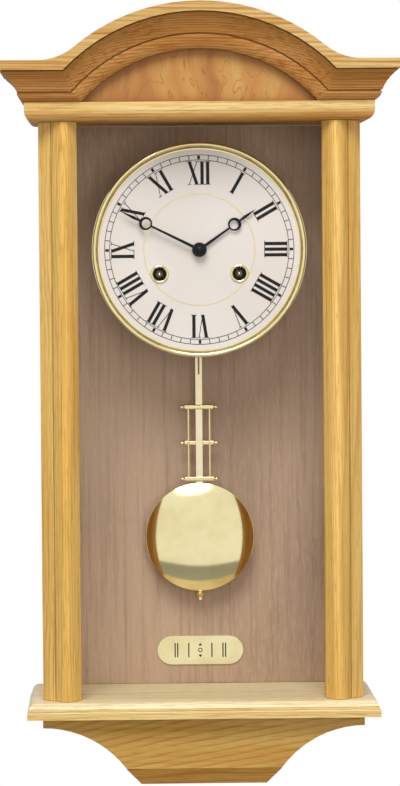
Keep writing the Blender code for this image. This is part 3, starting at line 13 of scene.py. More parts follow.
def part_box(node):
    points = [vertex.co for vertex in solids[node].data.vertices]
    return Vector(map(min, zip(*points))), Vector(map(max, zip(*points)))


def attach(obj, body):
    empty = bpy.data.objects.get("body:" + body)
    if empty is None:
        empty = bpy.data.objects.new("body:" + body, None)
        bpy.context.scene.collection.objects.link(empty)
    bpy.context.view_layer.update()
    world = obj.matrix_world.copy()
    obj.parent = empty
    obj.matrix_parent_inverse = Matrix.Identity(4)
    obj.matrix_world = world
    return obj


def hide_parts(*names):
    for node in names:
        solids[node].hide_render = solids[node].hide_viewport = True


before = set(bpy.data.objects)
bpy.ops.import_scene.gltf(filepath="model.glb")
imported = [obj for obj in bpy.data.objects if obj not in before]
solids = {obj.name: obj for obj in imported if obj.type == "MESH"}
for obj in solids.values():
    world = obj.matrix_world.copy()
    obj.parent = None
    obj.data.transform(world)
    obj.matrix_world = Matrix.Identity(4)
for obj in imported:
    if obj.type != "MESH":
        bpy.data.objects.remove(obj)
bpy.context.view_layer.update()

# Camera
EYE = (-0.0685, -3.16, 0.0)
PITCH = -2.18
YAW = 1.271
ROLL = 0.456
LENS = 172.4

# Room
FLOOR_LEVEL = -3.6
FLOOR_RADIUS = 8.0
FLOOR_FACETS = 96
FLOOR_PAINT = (0.8, 0.79, 0.77)
AMBIENT = 0.35
CLOCK_MIDDLE = (0.0, -0.1, -0.1)
KEY = {"place": (-0.3, -2.45, 2.35), "size": 2.0, "power": 98.0}
FILL = {"place": (0.4, -3.4, 0.0), "size": 1.6, "power": 37.0}


# Shader sums
class Shade:
    """A socket of a finish that takes part in Python sums: each sum adds its Math node."""

    def __init__(self, finish, socket):
        self.finish = finish
        self.socket = socket

    def sum(self, operation, *values):
        return self.finish.node("ShaderNodeMath", {"operation": operation}, dict(enumerate(values)))

    def __add__(self, other):
        return self.sum("ADD", self, other)

    def __radd__(self, other):
        return self.sum("ADD", other, self)

    def __sub__(self, other):
        return self.sum("SUBTRACT", self, other)

    def __rsub__(self, other):
        return self.sum("SUBTRACT", other, self)

    def __mul__(self, other):
        return self.sum("MULTIPLY", self, other)

    def __rmul__(self, other):
        return self.sum("MULTIPLY", other, self)

    def __pow__(self, other):
        return self.sum("POWER", self, other)


class Finish:
    """A node tree of a material or of the world, with one way to add a node."""

    def __init__(self, owner):
        self.owner = owner
        owner.use_nodes = True
        self.tree = owner.node_tree

    def node(self, kind, settings=None, inputs=None, output=0):
        """Adds a node, sets it up, feeds its sockets and gives one of its outputs."""
        made = self.tree.nodes.new(kind)
        for name, value in (settings or {}).items():
            if name == "stops":
                self.set_stops(made.color_ramp, value)
            else:
                setattr(made, name, value)
        for name, value in (inputs or {}).items():
            self.feed(made.inputs[name], value)
        return Shade(self, made.outputs[output])

    def set_stops(self, ramp, stops):
        while len(ramp.elements) < len(stops):
            ramp.elements.new(1.0)
        for element, (place, colour) in zip(ramp.elements, stops):
            element.position = place
            element.color = (*colour, 1.0)

    def feed(self, socket, value):
        if isinstance(value, Shade):
            self.tree.links.new(value.socket, socket)
        elif socket.type == "RGBA" and len(value) == 3:
            socket.default_value = (*value, 1.0)
        else:
            socket.default_value = value

    def place(self):
        """Where a point of the piece lies, in metres, at rest."""
        return self.node("ShaderNodeTexCoord", output="Object")

    def split(self, vector):
        made = self.node("ShaderNodeSeparateXYZ", inputs={"Vector": vector})
        return [Shade(self, socket) for socket in made.socket.node.outputs]

    def vector(self, x, y, z):
        return self.node("ShaderNodeCombineXYZ", inputs={"X": x, "Y": y, "Z": z})

    def noise(self, vector, scale=1.0, detail=2.0, roughness=0.5, distortion=0.0):
        values = {"Vector": vector, "Scale": scale, "Detail": detail, "Roughness": roughness}
        return self.node("ShaderNodeTexNoise", inputs={**values, "Distortion": distortion})

    def band(self, value, low, high, first=0.0, last=1.0):
        """A value mapped from one span to another with soft ends."""
        spans = {"Value": value, "From Min": low, "From Max": high, "To Min": first, "To Max": last}
        return self.node("ShaderNodeMapRange", {"interpolation_type": "SMOOTHSTEP"}, spans)

    def mix(self, share, first, second, blend="MIX"):
        colours = {0: share, 6: first, 7: second}
        settings = {"data_type": "RGBA", "blend_type": blend}
        return self.node("ShaderNodeMix", settings, colours, output=2)

    def ramp(self, value, stops):
        return self.node("ShaderNodeValToRGB", {"stops": stops}, {"Fac": value})

    def bump(self, height, depth):
        """A normal from a height in shares of a depth in metres."""
        return self.node("ShaderNodeBump", inputs={"Height": height, "Distance": depth, "Strength": 1.0})

    def open_sky(self, reach, own=False):
        """How freely light reaches a point past what stands within reach, or only past its own piece."""
        settings = {"only_local": own, "samples": OCCLUSION_SAMPLES}
        return self.node("ShaderNodeAmbientOcclusion", settings, {"Distance": reach}, output="AO")

    def coat(self, **sockets):
        """Feeds the material's shader: names are its sockets with underscores for spaces."""
        shader = self.tree.nodes["Principled BSDF"]
        for name, value in sockets.items():
            self.feed(shader.inputs[name.replace("_", " ")], value)
        return self.owner


def new_finish(name):
    return Finish(bpy.data.materials.new(name))


# Wood
STILE_OAK = ((0.82, 0.53, 0.165), (0.72, 0.42, 0.10))
CORNICE_OAK = ((0.64, 0.43, 0.185), (0.55, 0.34, 0.12))
RAIL_OAK = ((0.76, 0.60, 0.28), (0.66, 0.43, 0.135))
APRON_OAK = ((0.55, 0.345, 0.10), (0.47, 0.265, 0.065))
FOOT_OAK = ((0.82, 0.59, 0.19), (0.72, 0.48, 0.13))
TOP_LIGHT_PAINT = (0.86, 0.75, 0.48)
OAK_DARK = (0.33, 0.145, 0.02)
PAINTED_SHADE = (0.78, 0.57, 0.42)
GROOVE_PAINTED_SHADE = (0.16, 0.065, 0.012)
GROOVE_REACH = 0.003
FASCIA_FRONT = -0.1603
PAINTED_SHADE_BEHIND = (0.0008, 0.0024)
OCCLUSION_SAMPLES = 8
RING = 0.0023
HEART_ASIDE = 0.05
HEART_SPREAD = 0.013
HEART_DEEP = 0.11
WANDER = 0.02
PORE_DEPTH = 0.00004
FRAME_MIDDLE = (-0.054, -0.13015)
FRAME_HALF = (0.054, 0.23355)


def mitred_rails(finish, y, z):
    """1 on the rails of a side frame and 0 on its stiles, which meet in mitres."""
    reach = []
    for place, middle in ((y, FRAME_MIDDLE[0]), (z, FRAME_MIDDLE[1])):
        reach.append(finish.node("ShaderNodeMath", {"operation": "ABSOLUTE"}, {0: place - middle}))
    limits = {0: reach[1] - reach[0], 1: FRAME_HALF[1] - FRAME_HALF[0]}
    return finish.node("ShaderNodeMath", {"operation": "GREATER_THAN"}, limits)


def oak(
    name,
    grain,
    seed,
    tones,
    figure=0.5,
    tilt=0.02,
    ring=RING,
    gloss=0.1,
    groove=0.85,
    fascia=None,
    under=(-0.65, -0.1),
    top_light=0.0,
    streaks=0.4,
):
    """Varnished oak cut from a log whose heart runs along the grain: rings, streaks and dark pores.

    The tones are its pale and its golden wood. Undersides, or all that lies behind a fascia, get painted
    shade in a browner tint, darkest in grooves. The share top_light gives faces that look up a pale painted
    light.
    """
    light, gold = tones
    finish = new_finish(name)
    x, y, z = finish.split(finish.place())
    grains = {"X": (x, z, y), "Y": (y, z, x), "Z": (z, x, y)}
    if grain == "mitred":
        rail = mitred_rails(finish, y, z)
        along, across, deep = [a + rail * (b - a) for a, b in zip(grains["Z"], grains["Y"])]
    else:
        along, across, deep = grains[grain]
    drift = finish.noise(finish.vector(across * 9.0, deep * 9.0, along * 3.0 + seed), detail=3.0) - 0.5
    wander = drift * WANDER
    heart = (across + HEART_ASIDE + HEART_SPREAD * math.sin(seed) + along * tilt + wander) ** 2.0
    heart = heart + (deep - HEART_DEEP + wander) ** 2.0
    rings = finish.node("ShaderNodeMath", {"operation": "SQRT"}, {0: heart}) * (1 / ring)
    step = finish.node("ShaderNodeMath", {"operation": "FRACT"}, {0: rings})
    late = finish.band(step, 0.45, 0.9) * finish.band(step, 0.9, 1.0, 1.0, 0.0)
    streak = finish.noise(finish.vector(across * 460.0, deep * 460.0, along * 8.0 + seed), detail=4.0)
    broad = finish.noise(finish.vector(across * 60.0, deep * 60.0, along * 4.0 - seed), detail=2.0)
    pore = finish.noise(finish.vector(across * 1500.0, deep * 1500.0, along * 60.0 + seed), detail=1.0)
    pores = finish.band(pore, 0.54, 0.68) * (1 - 0.6 * late)
    facing = finish.split(finish.node("ShaderNodeNewGeometry", output="Normal"))[2]
    body = finish.mix(finish.band(broad, 0.3, 0.7), gold, light)
    # Painted light: faces that look up turn paler, standing in for light and a broad highlight from above.
    body = finish.mix(finish.band(facing, 0.05, 0.4, 0.0, top_light), body, TOP_LIGHT_PAINT)
    body = finish.mix(figure * late * finish.band(streak, 0.2, 0.6), body, OAK_DARK)
    body = finish.mix(finish.band(streak, 0.5, 0.72) * streaks, body, OAK_DARK)
    body = finish.mix(pores * 0.4, body, OAK_DARK)
    # Painted shade: undersides, and in the cornice all that lies behind the fascia and does not look up, take
    # a browner tint.
    if fascia is None:
        held = finish.band(facing, *under, 1.0, 0.0)
    else:
        first, full = [fascia + way for way in PAINTED_SHADE_BEHIND]
        held = finish.band(y, first, full) * finish.band(facing, 0.1, 0.5, 1.0, 0.0)
    body = finish.mix(held, body, PAINTED_SHADE, "MULTIPLY")
    # Painted shade: grooves and tight corners darken where little light reaches them.
    open_sky = finish.open_sky(GROOVE_REACH, own=True)
    body = finish.mix(finish.band(open_sky, 0.3, 0.75, groove, 0.0), body, GROOVE_PAINTED_SHADE)
    height = (1 - pores) + 0.4 * streak
    return finish.coat(
        Base_Color=body,
        Roughness=0.34 + 0.16 * streak,
        Normal=finish.bump(height, PORE_DEPTH),
        Specular_IOR_Level=0.0,
        Coat_Weight=gloss * (0.8 + 0.4 * streak),
        Coat_Roughness=0.16,
    )


VENEER_FLAMES = (
    (0.3, (0.33, 0.135, 0.035)),
    (0.48, (0.44, 0.205, 0.053)),
    (0.68, (0.52, 0.30, 0.085)),
)
VENEER_LINE = (0.24, 0.085, 0.02)
VENEER_FIBRE = (0.27, 0.11, 0.03)
VENEER_SHADE = (0.22, 0.075, 0.018)
ARCH_REACH = 0.02


def burl(name):
    """Figured veneer, lacquered: upright flames of gold and russet, with thin curling lines in patches."""
    finish = new_finish(name)
    x, _, z = finish.split(finish.place())
    sway = finish.noise(finish.vector(x * 16.0, 0.0, z * 12.0), detail=2.0)
    flame = finish.noise(finish.vector(x * 44.0 + sway * 2.0, 0.3, z * 7.0), detail=3.0)
    curl = finish.noise(finish.vector(x * 66.0 + sway * 3.0, 0.7, z * 26.0), detail=2.0, distortion=0.4)
    patch = finish.noise(finish.vector(x * 20.0, 1.9, z * 10.0), detail=1.0)
    contour = finish.node("ShaderNodeMath", {"operation": "PINGPONG"}, {0: curl * 6.0, 1: 0.5})
    lines = finish.band(contour, 0.0, 0.1, 1.0, 0.0) * finish.band(patch, 0.28, 0.5, 0.2, 1.0)
    fibre = finish.noise(finish.vector(x * 900.0, 0.0, z * 50.0), detail=2.0)
    base = finish.ramp(flame, VENEER_FLAMES)
    base = finish.mix(lines * 0.55, base, VENEER_LINE)
    base = finish.mix(finish.band(fibre, 0.5, 0.8) * 0.3, base, VENEER_FIBRE)
    # Painted shade on the veneer near the arch and bead, where little light reaches.
    open_sky = finish.open_sky(ARCH_REACH)
    base = finish.mix(finish.band(open_sky, 0.4, 0.97, 0.75, 0.0), base, VENEER_SHADE)
    return finish.coat(
        Base_Color=base,
        Roughness=0.36 + 0.1 * fibre,
        Specular_IOR_Level=0.3,
        Coat_Weight=0.06,
    )


PANEL_TONES = ((0.34, 0.225, 0.145), (0.46, 0.315, 0.205))
PANEL_STREAK = (0.17, 0.10, 0.06)
PANEL_FLECK = (0.50, 0.36, 0.25)
FLECK_DEPTH = 0.00003


def panel_veneer(name):
    """Close-grained brown veneer with upright streaks and short flecks."""
    finish = new_finish(name)
    x, y, z = finish.split(finish.place())
    cloud = finish.noise(finish.vector(x * 9.0, 0.0, z * 5.0), detail=2.0)
    streak = finish.noise(finish.vector(x * 330.0, y * 40.0, z * 9.0), detail=5.0)
    fleck = finish.noise(finish.vector(x * 1100.0, y * 40.0, z * 90.0), detail=2.0)
    base = finish.mix(finish.band(cloud, 0.3, 0.7), *PANEL_TONES)
    base = finish.mix(finish.band(streak, 0.45, 0.75) * 0.38, base, PANEL_STREAK)
    base = finish.mix(finish.band(fleck, 0.48, 0.7) * 0.55, base, PANEL_FLECK)
    return finish.coat(Base_Color=base, Roughness=0.45 + 0.12 * fleck, Normal=finish.bump(fleck, FLECK_DEPTH))


# Metal
def brass(name, colour, worn, roughness, lay=0.0):
    """Brass with a faint uneven polish. A lay draws fine lines along Z, as on a brushed strip."""
    finish = new_finish(name)
    x, y, z = finish.split(finish.place())
    cloud = finish.noise(finish.vector(x * 45.0, y * 45.0, z * 45.0), detail=3.0)
    hair = finish.noise(finish.vector(x * 2600.0, y * 2600.0, z * 60.0), detail=1.0)
    base = finish.mix(finish.band(cloud, 0.35, 0.75), colour, worn)
    return finish.coat(
        Base_Color=base,
        Metallic=1.0,
        Roughness=roughness + 0.06 * cloud + lay * hair,
    )


def steel(name, colour, roughness):
    """Brushed steel with fine scratches."""
    finish = new_finish(name)
    x, y, z = finish.split(finish.place())
    hair = finish.noise(finish.vector(x * 900.0, y * 900.0, z * 120.0), detail=2.0)
    cloud = finish.noise(finish.place(), 60.0)
    base = finish.mix(finish.band(cloud, 0.3, 0.7), colour, [0.82 * part for part in colour])
    return finish.coat(Base_Color=base, Metallic=1.0, Roughness=roughness + 0.16 * hair)


CAST_DEPTH = 0.0001


def iron(name):
    """Sand-cast iron with a matt skin."""
    finish = new_finish(name)
    grit = finish.noise(finish.place(), 1400.0, 3.0)
    base = finish.mix(finish.band(grit, 0.3, 0.7), (0.035, 0.035, 0.038), (0.075, 0.073, 0.072))
    skin_bump = finish.bump(grit, CAST_DEPTH)
    return finish.coat(Base_Color=base, Metallic=0.4, Roughness=0.55 + 0.2 * grit, Normal=skin_bump)


# Paint and glass
DIAL_TONES = ((0.71, 0.65, 0.59), (0.75, 0.695, 0.645))
PAINT_DEPTH = 0.00001
DUST = 0.006
GLASS_TONES = ((0.05, 0.055, 0.055), (0.07, 0.075, 0.073))


def dial_paint(name):
    """Warm silvered ivory with an even, faintly mottled surface."""
    finish = new_finish(name)
    cloud = finish.noise(finish.place(), 14.0, 2.0)
    grit = finish.noise(finish.place(), 2400.0, 1.0)
    base = finish.mix(finish.band(cloud, 0.3, 0.7), *DIAL_TONES)
    return finish.coat(Base_Color=base, Roughness=0.36 + 0.1 * grit, Normal=finish.bump(grit, PAINT_DEPTH))


def lacquer(name, colour, roughness):
    """Dark lacquer with a little dust in its gloss."""
    finish = new_finish(name)
    dust = finish.noise(finish.place(), 900.0, 2.0)
    base = finish.mix(finish.band(dust, 0.4, 0.8), colour, [part + DUST for part in colour])
    return finish.coat(Base_Color=base, Roughness=roughness + 0.08 * dust, Specular_IOR_Level=0.12)


def clear_glass(name):
    """Thin clear pane: mostly see-through, with the faint veil and gloss of float glass."""
    finish = new_finish(name)
    veil = finish.noise(finish.place(), 6.0, 2.0)
    base = finish.mix(finish.band(veil, 0.3, 0.7), *GLASS_TONES)
    return finish.coat(Base_Color=base, Roughness=0.02, Specular_IOR_Level=0.1, Alpha=0.03)


# Shapes
SHARP_ANGLE = math.radians(32)
WELD = 1e-7
WOOD_EDGE = 0.0004
THIN_EDGE = 0.0003
METAL_EDGE = 0.0002


def polar(radius, degrees, centre=(0.0, 0.0)):
    """A point of the X-Z plane at a radius and a bearing counted from +X towards +Z."""
    angle = math.radians(degrees)
    return (centre[0] + radius * math.cos(angle), centre[1] + radius * math.sin(angle))


def arc(centre, radius, first, last, steps):
    """Points of a circular arc between two bearings."""
    return [polar(radius, first + (last - first) * i / steps, centre) for i in range(steps + 1)]


def circle(centre, radius, facets):
    return arc(centre, radius, 0, 360 - 360 / facets, facets - 1)


def skin(bm, rings, closed):
    """Faces through rings of equal count, capped at both ends or closed on itself."""
    rows = [[bm.verts.new(point) for point in ring] for ring in rings]
    pairs = list(zip(rows, rows[1:]))
    if closed:
        pairs.append((rows[-1], rows[0]))
    for low, high in pairs:
        for i in range(len(low)):
            bm.faces.new((low[i - 1], low[i], high[i], high[i - 1]))
    if not closed:
        bm.faces.new(rows[0])
        bm.faces.new(rows[-1])


def turn(bm, profile, facets, centre, axis="Y", closed=False):
    """A profile of (radius, along) points turned about an axis through a point."""
    cx, cy, cz = centre
    place = {
        "X": lambda r, a, t: (cx + a, cy + r * math.cos(t), cz + r * math.sin(t)),
        "Y": lambda r, a, t: (cx + r * math.cos(t), cy + a, cz + r * math.sin(t)),
        "Z": lambda r, a, t: (cx + r * math.cos(t), cy + r * math.sin(t), cz + a),
    }[axis]
    steps = [2 * math.pi * i / facets for i in range(facets)]
    skin(bm, [[place(r, a, t) for t in steps] for r, a in profile], closed)


def turn_along(bm, profile, facets, start, bearing):
    """A profile turned about a line that leaves a point at a bearing of the X-Z plane."""
    first = len(bm.verts)
    turn(bm, profile, facets, (0.0, 0.0, 0.0), "X")
    tilt = Matrix.Rotation(-math.radians(bearing), 4, "Y")
    bmesh.ops.transform(bm, matrix=Matrix.Translation(start) @ tilt, verts=bm.verts[:][first:])


def slab(bm, outlines, back, front):
    """A flat outline of the X-Z plane, with any further outlines as holes, between two depths."""
    edges = []
    for outline in outlines:
        corners = [bm.verts.new((x, back, z)) for x, z in outline]
        edges += [bm.edges.new((corner, corners[i - 1])) for i, corner in enumerate(corners)]
    flat = bmesh.ops.triangle_fill(bm, use_beauty=True, edges=edges)["geom"]
    faces = [f for f in flat if isinstance(f, bmesh.types.BMFace)]
    lifted = bmesh.ops.extrude_face_region(bm, geom=faces)["geom"]
    corners = [v for v in lifted if isinstance(v, bmesh.types.BMVert)]
    bmesh.ops.translate(bm, verts=corners, vec=(0.0, front - back, 0.0))


def round_edges(target, width):
    """A small rounding on the sharp edges of a piece, shaded smooth between them."""
    bevel = target.modifiers.new("Worn edges", "BEVEL")
    bevel.width = width
    bevel.segments = 2
    bevel.limit_method = "ANGLE"
    bevel.angle_limit = SHARP_ANGLE
    bevel.harden_normals = True


def piece(name, bm, look, body, stands_for=(), edge=0.0):
    """A new object from a bmesh in the clock's frame, riding on a body."""
    bmesh.ops.remove_doubles(bm, verts=bm.verts[:], dist=WELD)
    bmesh.ops.recalc_face_normals(bm, faces=bm.faces[:])
    mesh = bpy.data.meshes.new(name)
    bm.to_mesh(mesh)
    bm.free()
    mesh.shade_smooth()
    mesh.set_sharp_from_angle(angle=SHARP_ANGLE)
    mesh.materials.append(look)
    made = bpy.data.objects.new(name, mesh)
    bpy.context.scene.collection.objects.link(made)
    if edge:
        round_edges(made, edge)
    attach(made, body)
    if stands_for:
        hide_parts(*stands_for)
    return made


def dress(look, *names, edge=0.0):
    """Gives CAD pieces their finish and, where asked, softened edges."""
    for name in names:
        target = solids[name]
        target.data.materials.clear()
        target.data.materials.append(look)
        target.data.shade_smooth()
        target.data.set_sharp_from_angle(angle=SHARP_ANGLE)
        if edge:
            round_edges(target, edge)


# Dial
DIAL_FACE = -0.0895
PRINT_RISE = 0.00006
PRINT_DEPTH = 0.00014
NUMERAL_TOP = 0.0719
NUMERAL_FOOT = 0.0530
THICK_STROKE = 0.0027
THIN_STROKE = 0.0006
SERIF = 0.0005
STROKE_PITCH = 0.0046
V_PITCH = 0.0098
X_PITCH = 0.0100
TRACK_INNER = 0.0731
TRACK_OUTER = 0.0772
TRACK_LINE = 0.0005
TRACK_FACETS = 180
TICK = 0.0006
HOUR_BLOCK = 0.0021
HOUR_BLOCK_DEPTH = 0.0030
GOLD_RING = 0.0453
GOLD_LINE = 0.0009
NUMERALS = ("XII", "I", "II", "III", "IIII", "V", "VI", "VII", "VIII", "IX", "X", "XI")


def stroke(foot, head, width):
    """Corners of a straight stroke between two heights: (x at the foot, x at the head)."""
    low, high, half = NUMERAL_FOOT, NUMERAL_TOP, width / 2
    return [(foot - half, low), (foot + half, low), (head + half, high), (head - half, high)]


def serif(middle, half, level, inward):
    """A thin foot or head across a stroke."""
    far = level + inward * SERIF
    return [(middle - half, level), (middle + half, level), (middle + half, far), (middle - half, far)]


def numeral_strokes(text):
    """Strokes of a Roman numeral standing up, centred on x = 0: thick and thin as cut with a broad pen."""
    widths = {"I": STROKE_PITCH, "V": V_PITCH, "X": X_PITCH}
    total = sum(widths[letter] for letter in text)
    start = -total / 2
    strokes = []
    for letter in text:
        middle = start + widths[letter] / 2
        reach = widths[letter] / 2 - THICK_STROKE / 2 - SERIF
        left, right = middle - reach, middle + reach
        wide = THICK_STROKE / 2 + 2 * SERIF
        narrow = THIN_STROKE / 2 + 2.4 * SERIF
        if letter == "I":
            strokes.append((stroke(middle, middle, THICK_STROKE), 0))
            strokes += [(serif(middle, wide, NUMERAL_FOOT, 1), 1), (serif(middle, wide, NUMERAL_TOP, -1), 1)]
        elif letter == "V":
            strokes += [(stroke(middle, left, THICK_STROKE), 0), (stroke(middle, right, THIN_STROKE), 1)]
            strokes += [(serif(left, wide, NUMERAL_TOP, -1), 2), (serif(right, narrow, NUMERAL_TOP, -1), 2)]
        else:
            strokes += [(stroke(right, left, THICK_STROKE), 0), (stroke(left, right, THIN_STROKE), 1)]
            strokes += [(serif(left, wide, NUMERAL_TOP, -1), 2), (serif(right, narrow, NUMERAL_TOP, -1), 2)]
            strokes += [(serif(right, wide, NUMERAL_FOOT, 1), 2), (serif(left, narrow, NUMERAL_FOOT, 1), 2)]
        start += widths[letter]
    return strokes


def spin(points, degrees):
    """Points of the X-Z plane turned clockwise, as seen from the front, about the hands' line."""
    turn_by = math.radians(degrees)
    c, s = math.cos(turn_by), math.sin(turn_by)
    return [(x * c + z * s, z * c - x * s) for x, z in points]


def print_on_dial(bm, outlines, layer=0):
    """A printed shape that stands a hair above the dial. Later layers lie a little lower."""
    front = DIAL_FACE - PRINT_DEPTH + layer * PRINT_RISE / 3
    slab(bm, outlines, DIAL_FACE - PRINT_RISE / 3, front)


def make_dial_print(ink, gilt):
    """Roman numerals, minute track with its hour blocks, and the gilt ring."""
    bm = bmesh.new()
    for hour, text in enumerate(NUMERALS):
        for outline, layer in numeral_strokes(text):
            print_on_dial(bm, [spin(outline, 30 * hour)], layer)
    piece("hour_numerals", bm, ink, "case")
    bm = bmesh.new()
    for radius in (TRACK_INNER, TRACK_OUTER):
        rings = [circle((0.0, 0.0), radius + half * TRACK_LINE / 2, TRACK_FACETS) for half in (1, -1)]
        print_on_dial(bm, rings)
    for minute in range(60):
        low, high, half = TRACK_INNER, TRACK_OUTER, TICK / 2
        if minute % 5 == 0:
            middle = (TRACK_INNER + TRACK_OUTER) / 2
            low, high, half = middle - HOUR_BLOCK_DEPTH / 2, middle + HOUR_BLOCK_DEPTH / 2, HOUR_BLOCK / 2
        mark = [(-half, low), (half, low), (half, high), (-half, high)]
        print_on_dial(bm, [spin(mark, 6 * minute)], 1)
    piece("minute_track", bm, ink, "case")
    bm = bmesh.new()
    rings = [circle((0.0, 0.0), GOLD_RING + half * GOLD_LINE / 2, TRACK_FACETS) for half in (1, -1)]
    print_on_dial(bm, rings)
    piece("gilt_ring", bm, gilt, "case")


# Bezel, grommets and hands
BEZEL_OPENING = 0.0818
BEZEL_RADIUS = 0.0877
BEZEL_ROLL = 0.0038
BEZEL_SLOPE = 0.0012
BEZEL_SEAT = 0.0851
BEZEL_REAR = -0.0868
BEZEL_LIP = -0.0898
BEZEL_CREST = -0.0933
BEZEL_ROLL_TURN = 140
BEZEL_ROLL_STEPS = 14
BEZEL_FOOT_RISE = 0.12
BEZEL_LIP_RISE = 0.08
BEZEL_TONES = ((0.97, 0.86, 0.47), (0.90, 0.76, 0.36))
PAINTED_SLOPE_REFLECTION = (0.46, 0.31, 0.09)
SLOPE_BLUR = 0.0002
ROUND_FACETS = 120
SMALL_FACETS = 40
THIN_FACETS = 24
WINDING_HOLES = {"left": (-0.0326, -0.0196), "right": (0.0326, -0.0196)}
GROMMET_BORE = 0.0054
GROMMET_TUBE = 0.0062
GROMMET_RADIUS = 0.0076
GROMMET_REAR = -0.088
GROMMET_FRONT = -0.0910
SLEEVE_BORE = 0.0055
SLEEVE_RADIUS = 0.0064
SLEEVE_FRONT = -0.0878
SLEEVE_REAR = -0.0785
SLEEVE_FLOOR = 0.0008
SLEEVE_HOLE = 0.0030
TIP_RADIUS = 0.0012
TIP_RISE = 0.0008
HAND_THICKNESS = 0.0011
HAND_EDGE = 0.00022
HOUR_HAND = {"ring": 0.0354, "tip": 0.0568, "bore": 0.0041, "back": -0.0917}
MINUTE_HAND = {"ring": 0.0488, "tip": 0.0739, "bore": 0.0027, "back": -0.0951}
HAND_BOSS = 0.0059
HAND_ROOT = 0.0025
HAND_NECK = 0.0016
HAND_LEAF = 0.0055
RING_RADIUS = 0.0054
RING_HOLE = 0.0036
HOLE_FACETS = 32
MINUTES_SHOWN = 49.4
HOUR_SHOWN = 1
NUT_RADIUS = 0.0036
NUT_FOOT = -0.0965
NUT_COLLAR = 0.0009
NUT_DOME = 0.0021
NUT_SHOULDER = 0.0002
NUT_DOME_SHARE = 0.94


def bezel_brass(name):
    """Polished brass with a painted dark reflection in the slope between the bezel's roll and its lip."""
    finish = new_finish(name)
    x, y, z = finish.split(finish.place())
    cloud = finish.noise(finish.vector(x * 45.0, y * 45.0, z * 45.0), detail=3.0)
    reach = finish.node("ShaderNodeMath", {"operation": "SQRT"}, {0: x * x + z * z})
    top, foot = BEZEL_RADIUS - BEZEL_ROLL, BEZEL_RADIUS - BEZEL_ROLL - BEZEL_SLOPE
    slope = finish.band(reach, foot - SLOPE_BLUR, foot + 2 * SLOPE_BLUR)
    slope = slope * finish.band(reach, top - 2 * SLOPE_BLUR, top + 3 * SLOPE_BLUR, 1.0, 0.0)
    base = finish.mix(finish.band(cloud, 0.35, 0.75), *BEZEL_TONES)
    # Painted reflection: the slope darkens as if it mirrored the dark inside of the case.
    base = finish.mix(slope * (0.6 + 0.5 * cloud), base, PAINTED_SLOPE_REFLECTION)
    return finish.coat(Base_Color=base, Metallic=1.0, Roughness=0.07 + 0.06 * cloud + 0.3 * slope)


def make_bezel(look):
    """Brass bezel: a full outer roll, a steep slope inside it and a thin flat lip on the dial."""
    half, rise = BEZEL_ROLL / 2, BEZEL_LIP - BEZEL_CREST
    middle, foot = BEZEL_RADIUS - half, BEZEL_RADIUS - BEZEL_ROLL - BEZEL_SLOPE
    profile = [(BEZEL_SEAT, BEZEL_LIP), (BEZEL_SEAT, BEZEL_REAR), (BEZEL_RADIUS, BEZEL_REAR)]
    steps = BEZEL_ROLL_STEPS
    turns = [math.radians(BEZEL_ROLL_TURN) * i / steps for i in range(steps + 1)]
    profile += [(middle + half * math.cos(t), BEZEL_LIP - rise * math.sin(t) ** 0.5) for t in turns]
    profile += [(foot, BEZEL_LIP - BEZEL_FOOT_RISE * rise)]
    profile += [(BEZEL_OPENING, BEZEL_LIP - BEZEL_LIP_RISE * rise), (BEZEL_OPENING, BEZEL_LIP)]
    bm = bmesh.new()
    turn(bm, profile, ROUND_FACETS, (0.0, 0.0, 0.0), closed=True)
    piece("turned_bezel", bm, look, "case", ["dial_bezel"])


def make_grommets(look):
    """Brass eyelets of the winding holes."""
    for side, (x, z) in WINDING_HOLES.items():
        face = BEZEL_LIP
        middle, half = (GROMMET_BORE + GROMMET_RADIUS) / 2, (GROMMET_RADIUS - GROMMET_BORE) / 2
        profile = [(GROMMET_BORE, GROMMET_REAR), (GROMMET_TUBE, GROMMET_REAR), (GROMMET_TUBE, face)]
        turns = [math.pi * i / 8 for i in range(9)]
        profile += [(middle + half * math.cos(t), face + (GROMMET_FRONT - face) * math.sin(t)) for t in turns]
        bm = bmesh.new()
        turn(bm, profile, SMALL_FACETS, (x, 0.0, z), closed=True)
        piece(f"{side}_eyelet", bm, look, "case", [f"grommet_{side}"])


def make_shade_cups(look):
    """Black cups in the winding holes, with a hole in their floor for the arbor: painted shade that darkens
    the holes.
    """
    floor = SLEEVE_REAR - SLEEVE_FLOOR
    profile = [(SLEEVE_BORE, SLEEVE_FRONT), (SLEEVE_BORE, floor), (SLEEVE_HOLE, floor)]
    profile += [(SLEEVE_HOLE, SLEEVE_REAR), (SLEEVE_RADIUS, SLEEVE_REAR), (SLEEVE_RADIUS, SLEEVE_FRONT)]
    for side, (x, z) in WINDING_HOLES.items():
        bm = bmesh.new()
        turn(bm, profile, SMALL_FACETS, (x, 0.0, z), closed=True)
        piece(f"{side}_shade_sleeve", bm, look, "case")


def make_glint_tips(look):
    """Bright turned points on the ends of the winding squares, a painted glint."""
    turns = [math.pi / 2 * i / 6 for i in range(7)]
    point = [(TIP_RADIUS * math.cos(t), -TIP_RISE * math.sin(t)) for t in turns]
    for train in ("time", "strike"):
        low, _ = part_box(f"{train}_winding_arbor")
        x, z = WINDING_HOLES["left" if low[0] < 0 else "right"]
        bm = bmesh.new()
        turn(bm, point, THIN_FACETS, (x, low[1], z))
        piece(f"{train}_glint_tip", bm, look, f"{train}_winding")


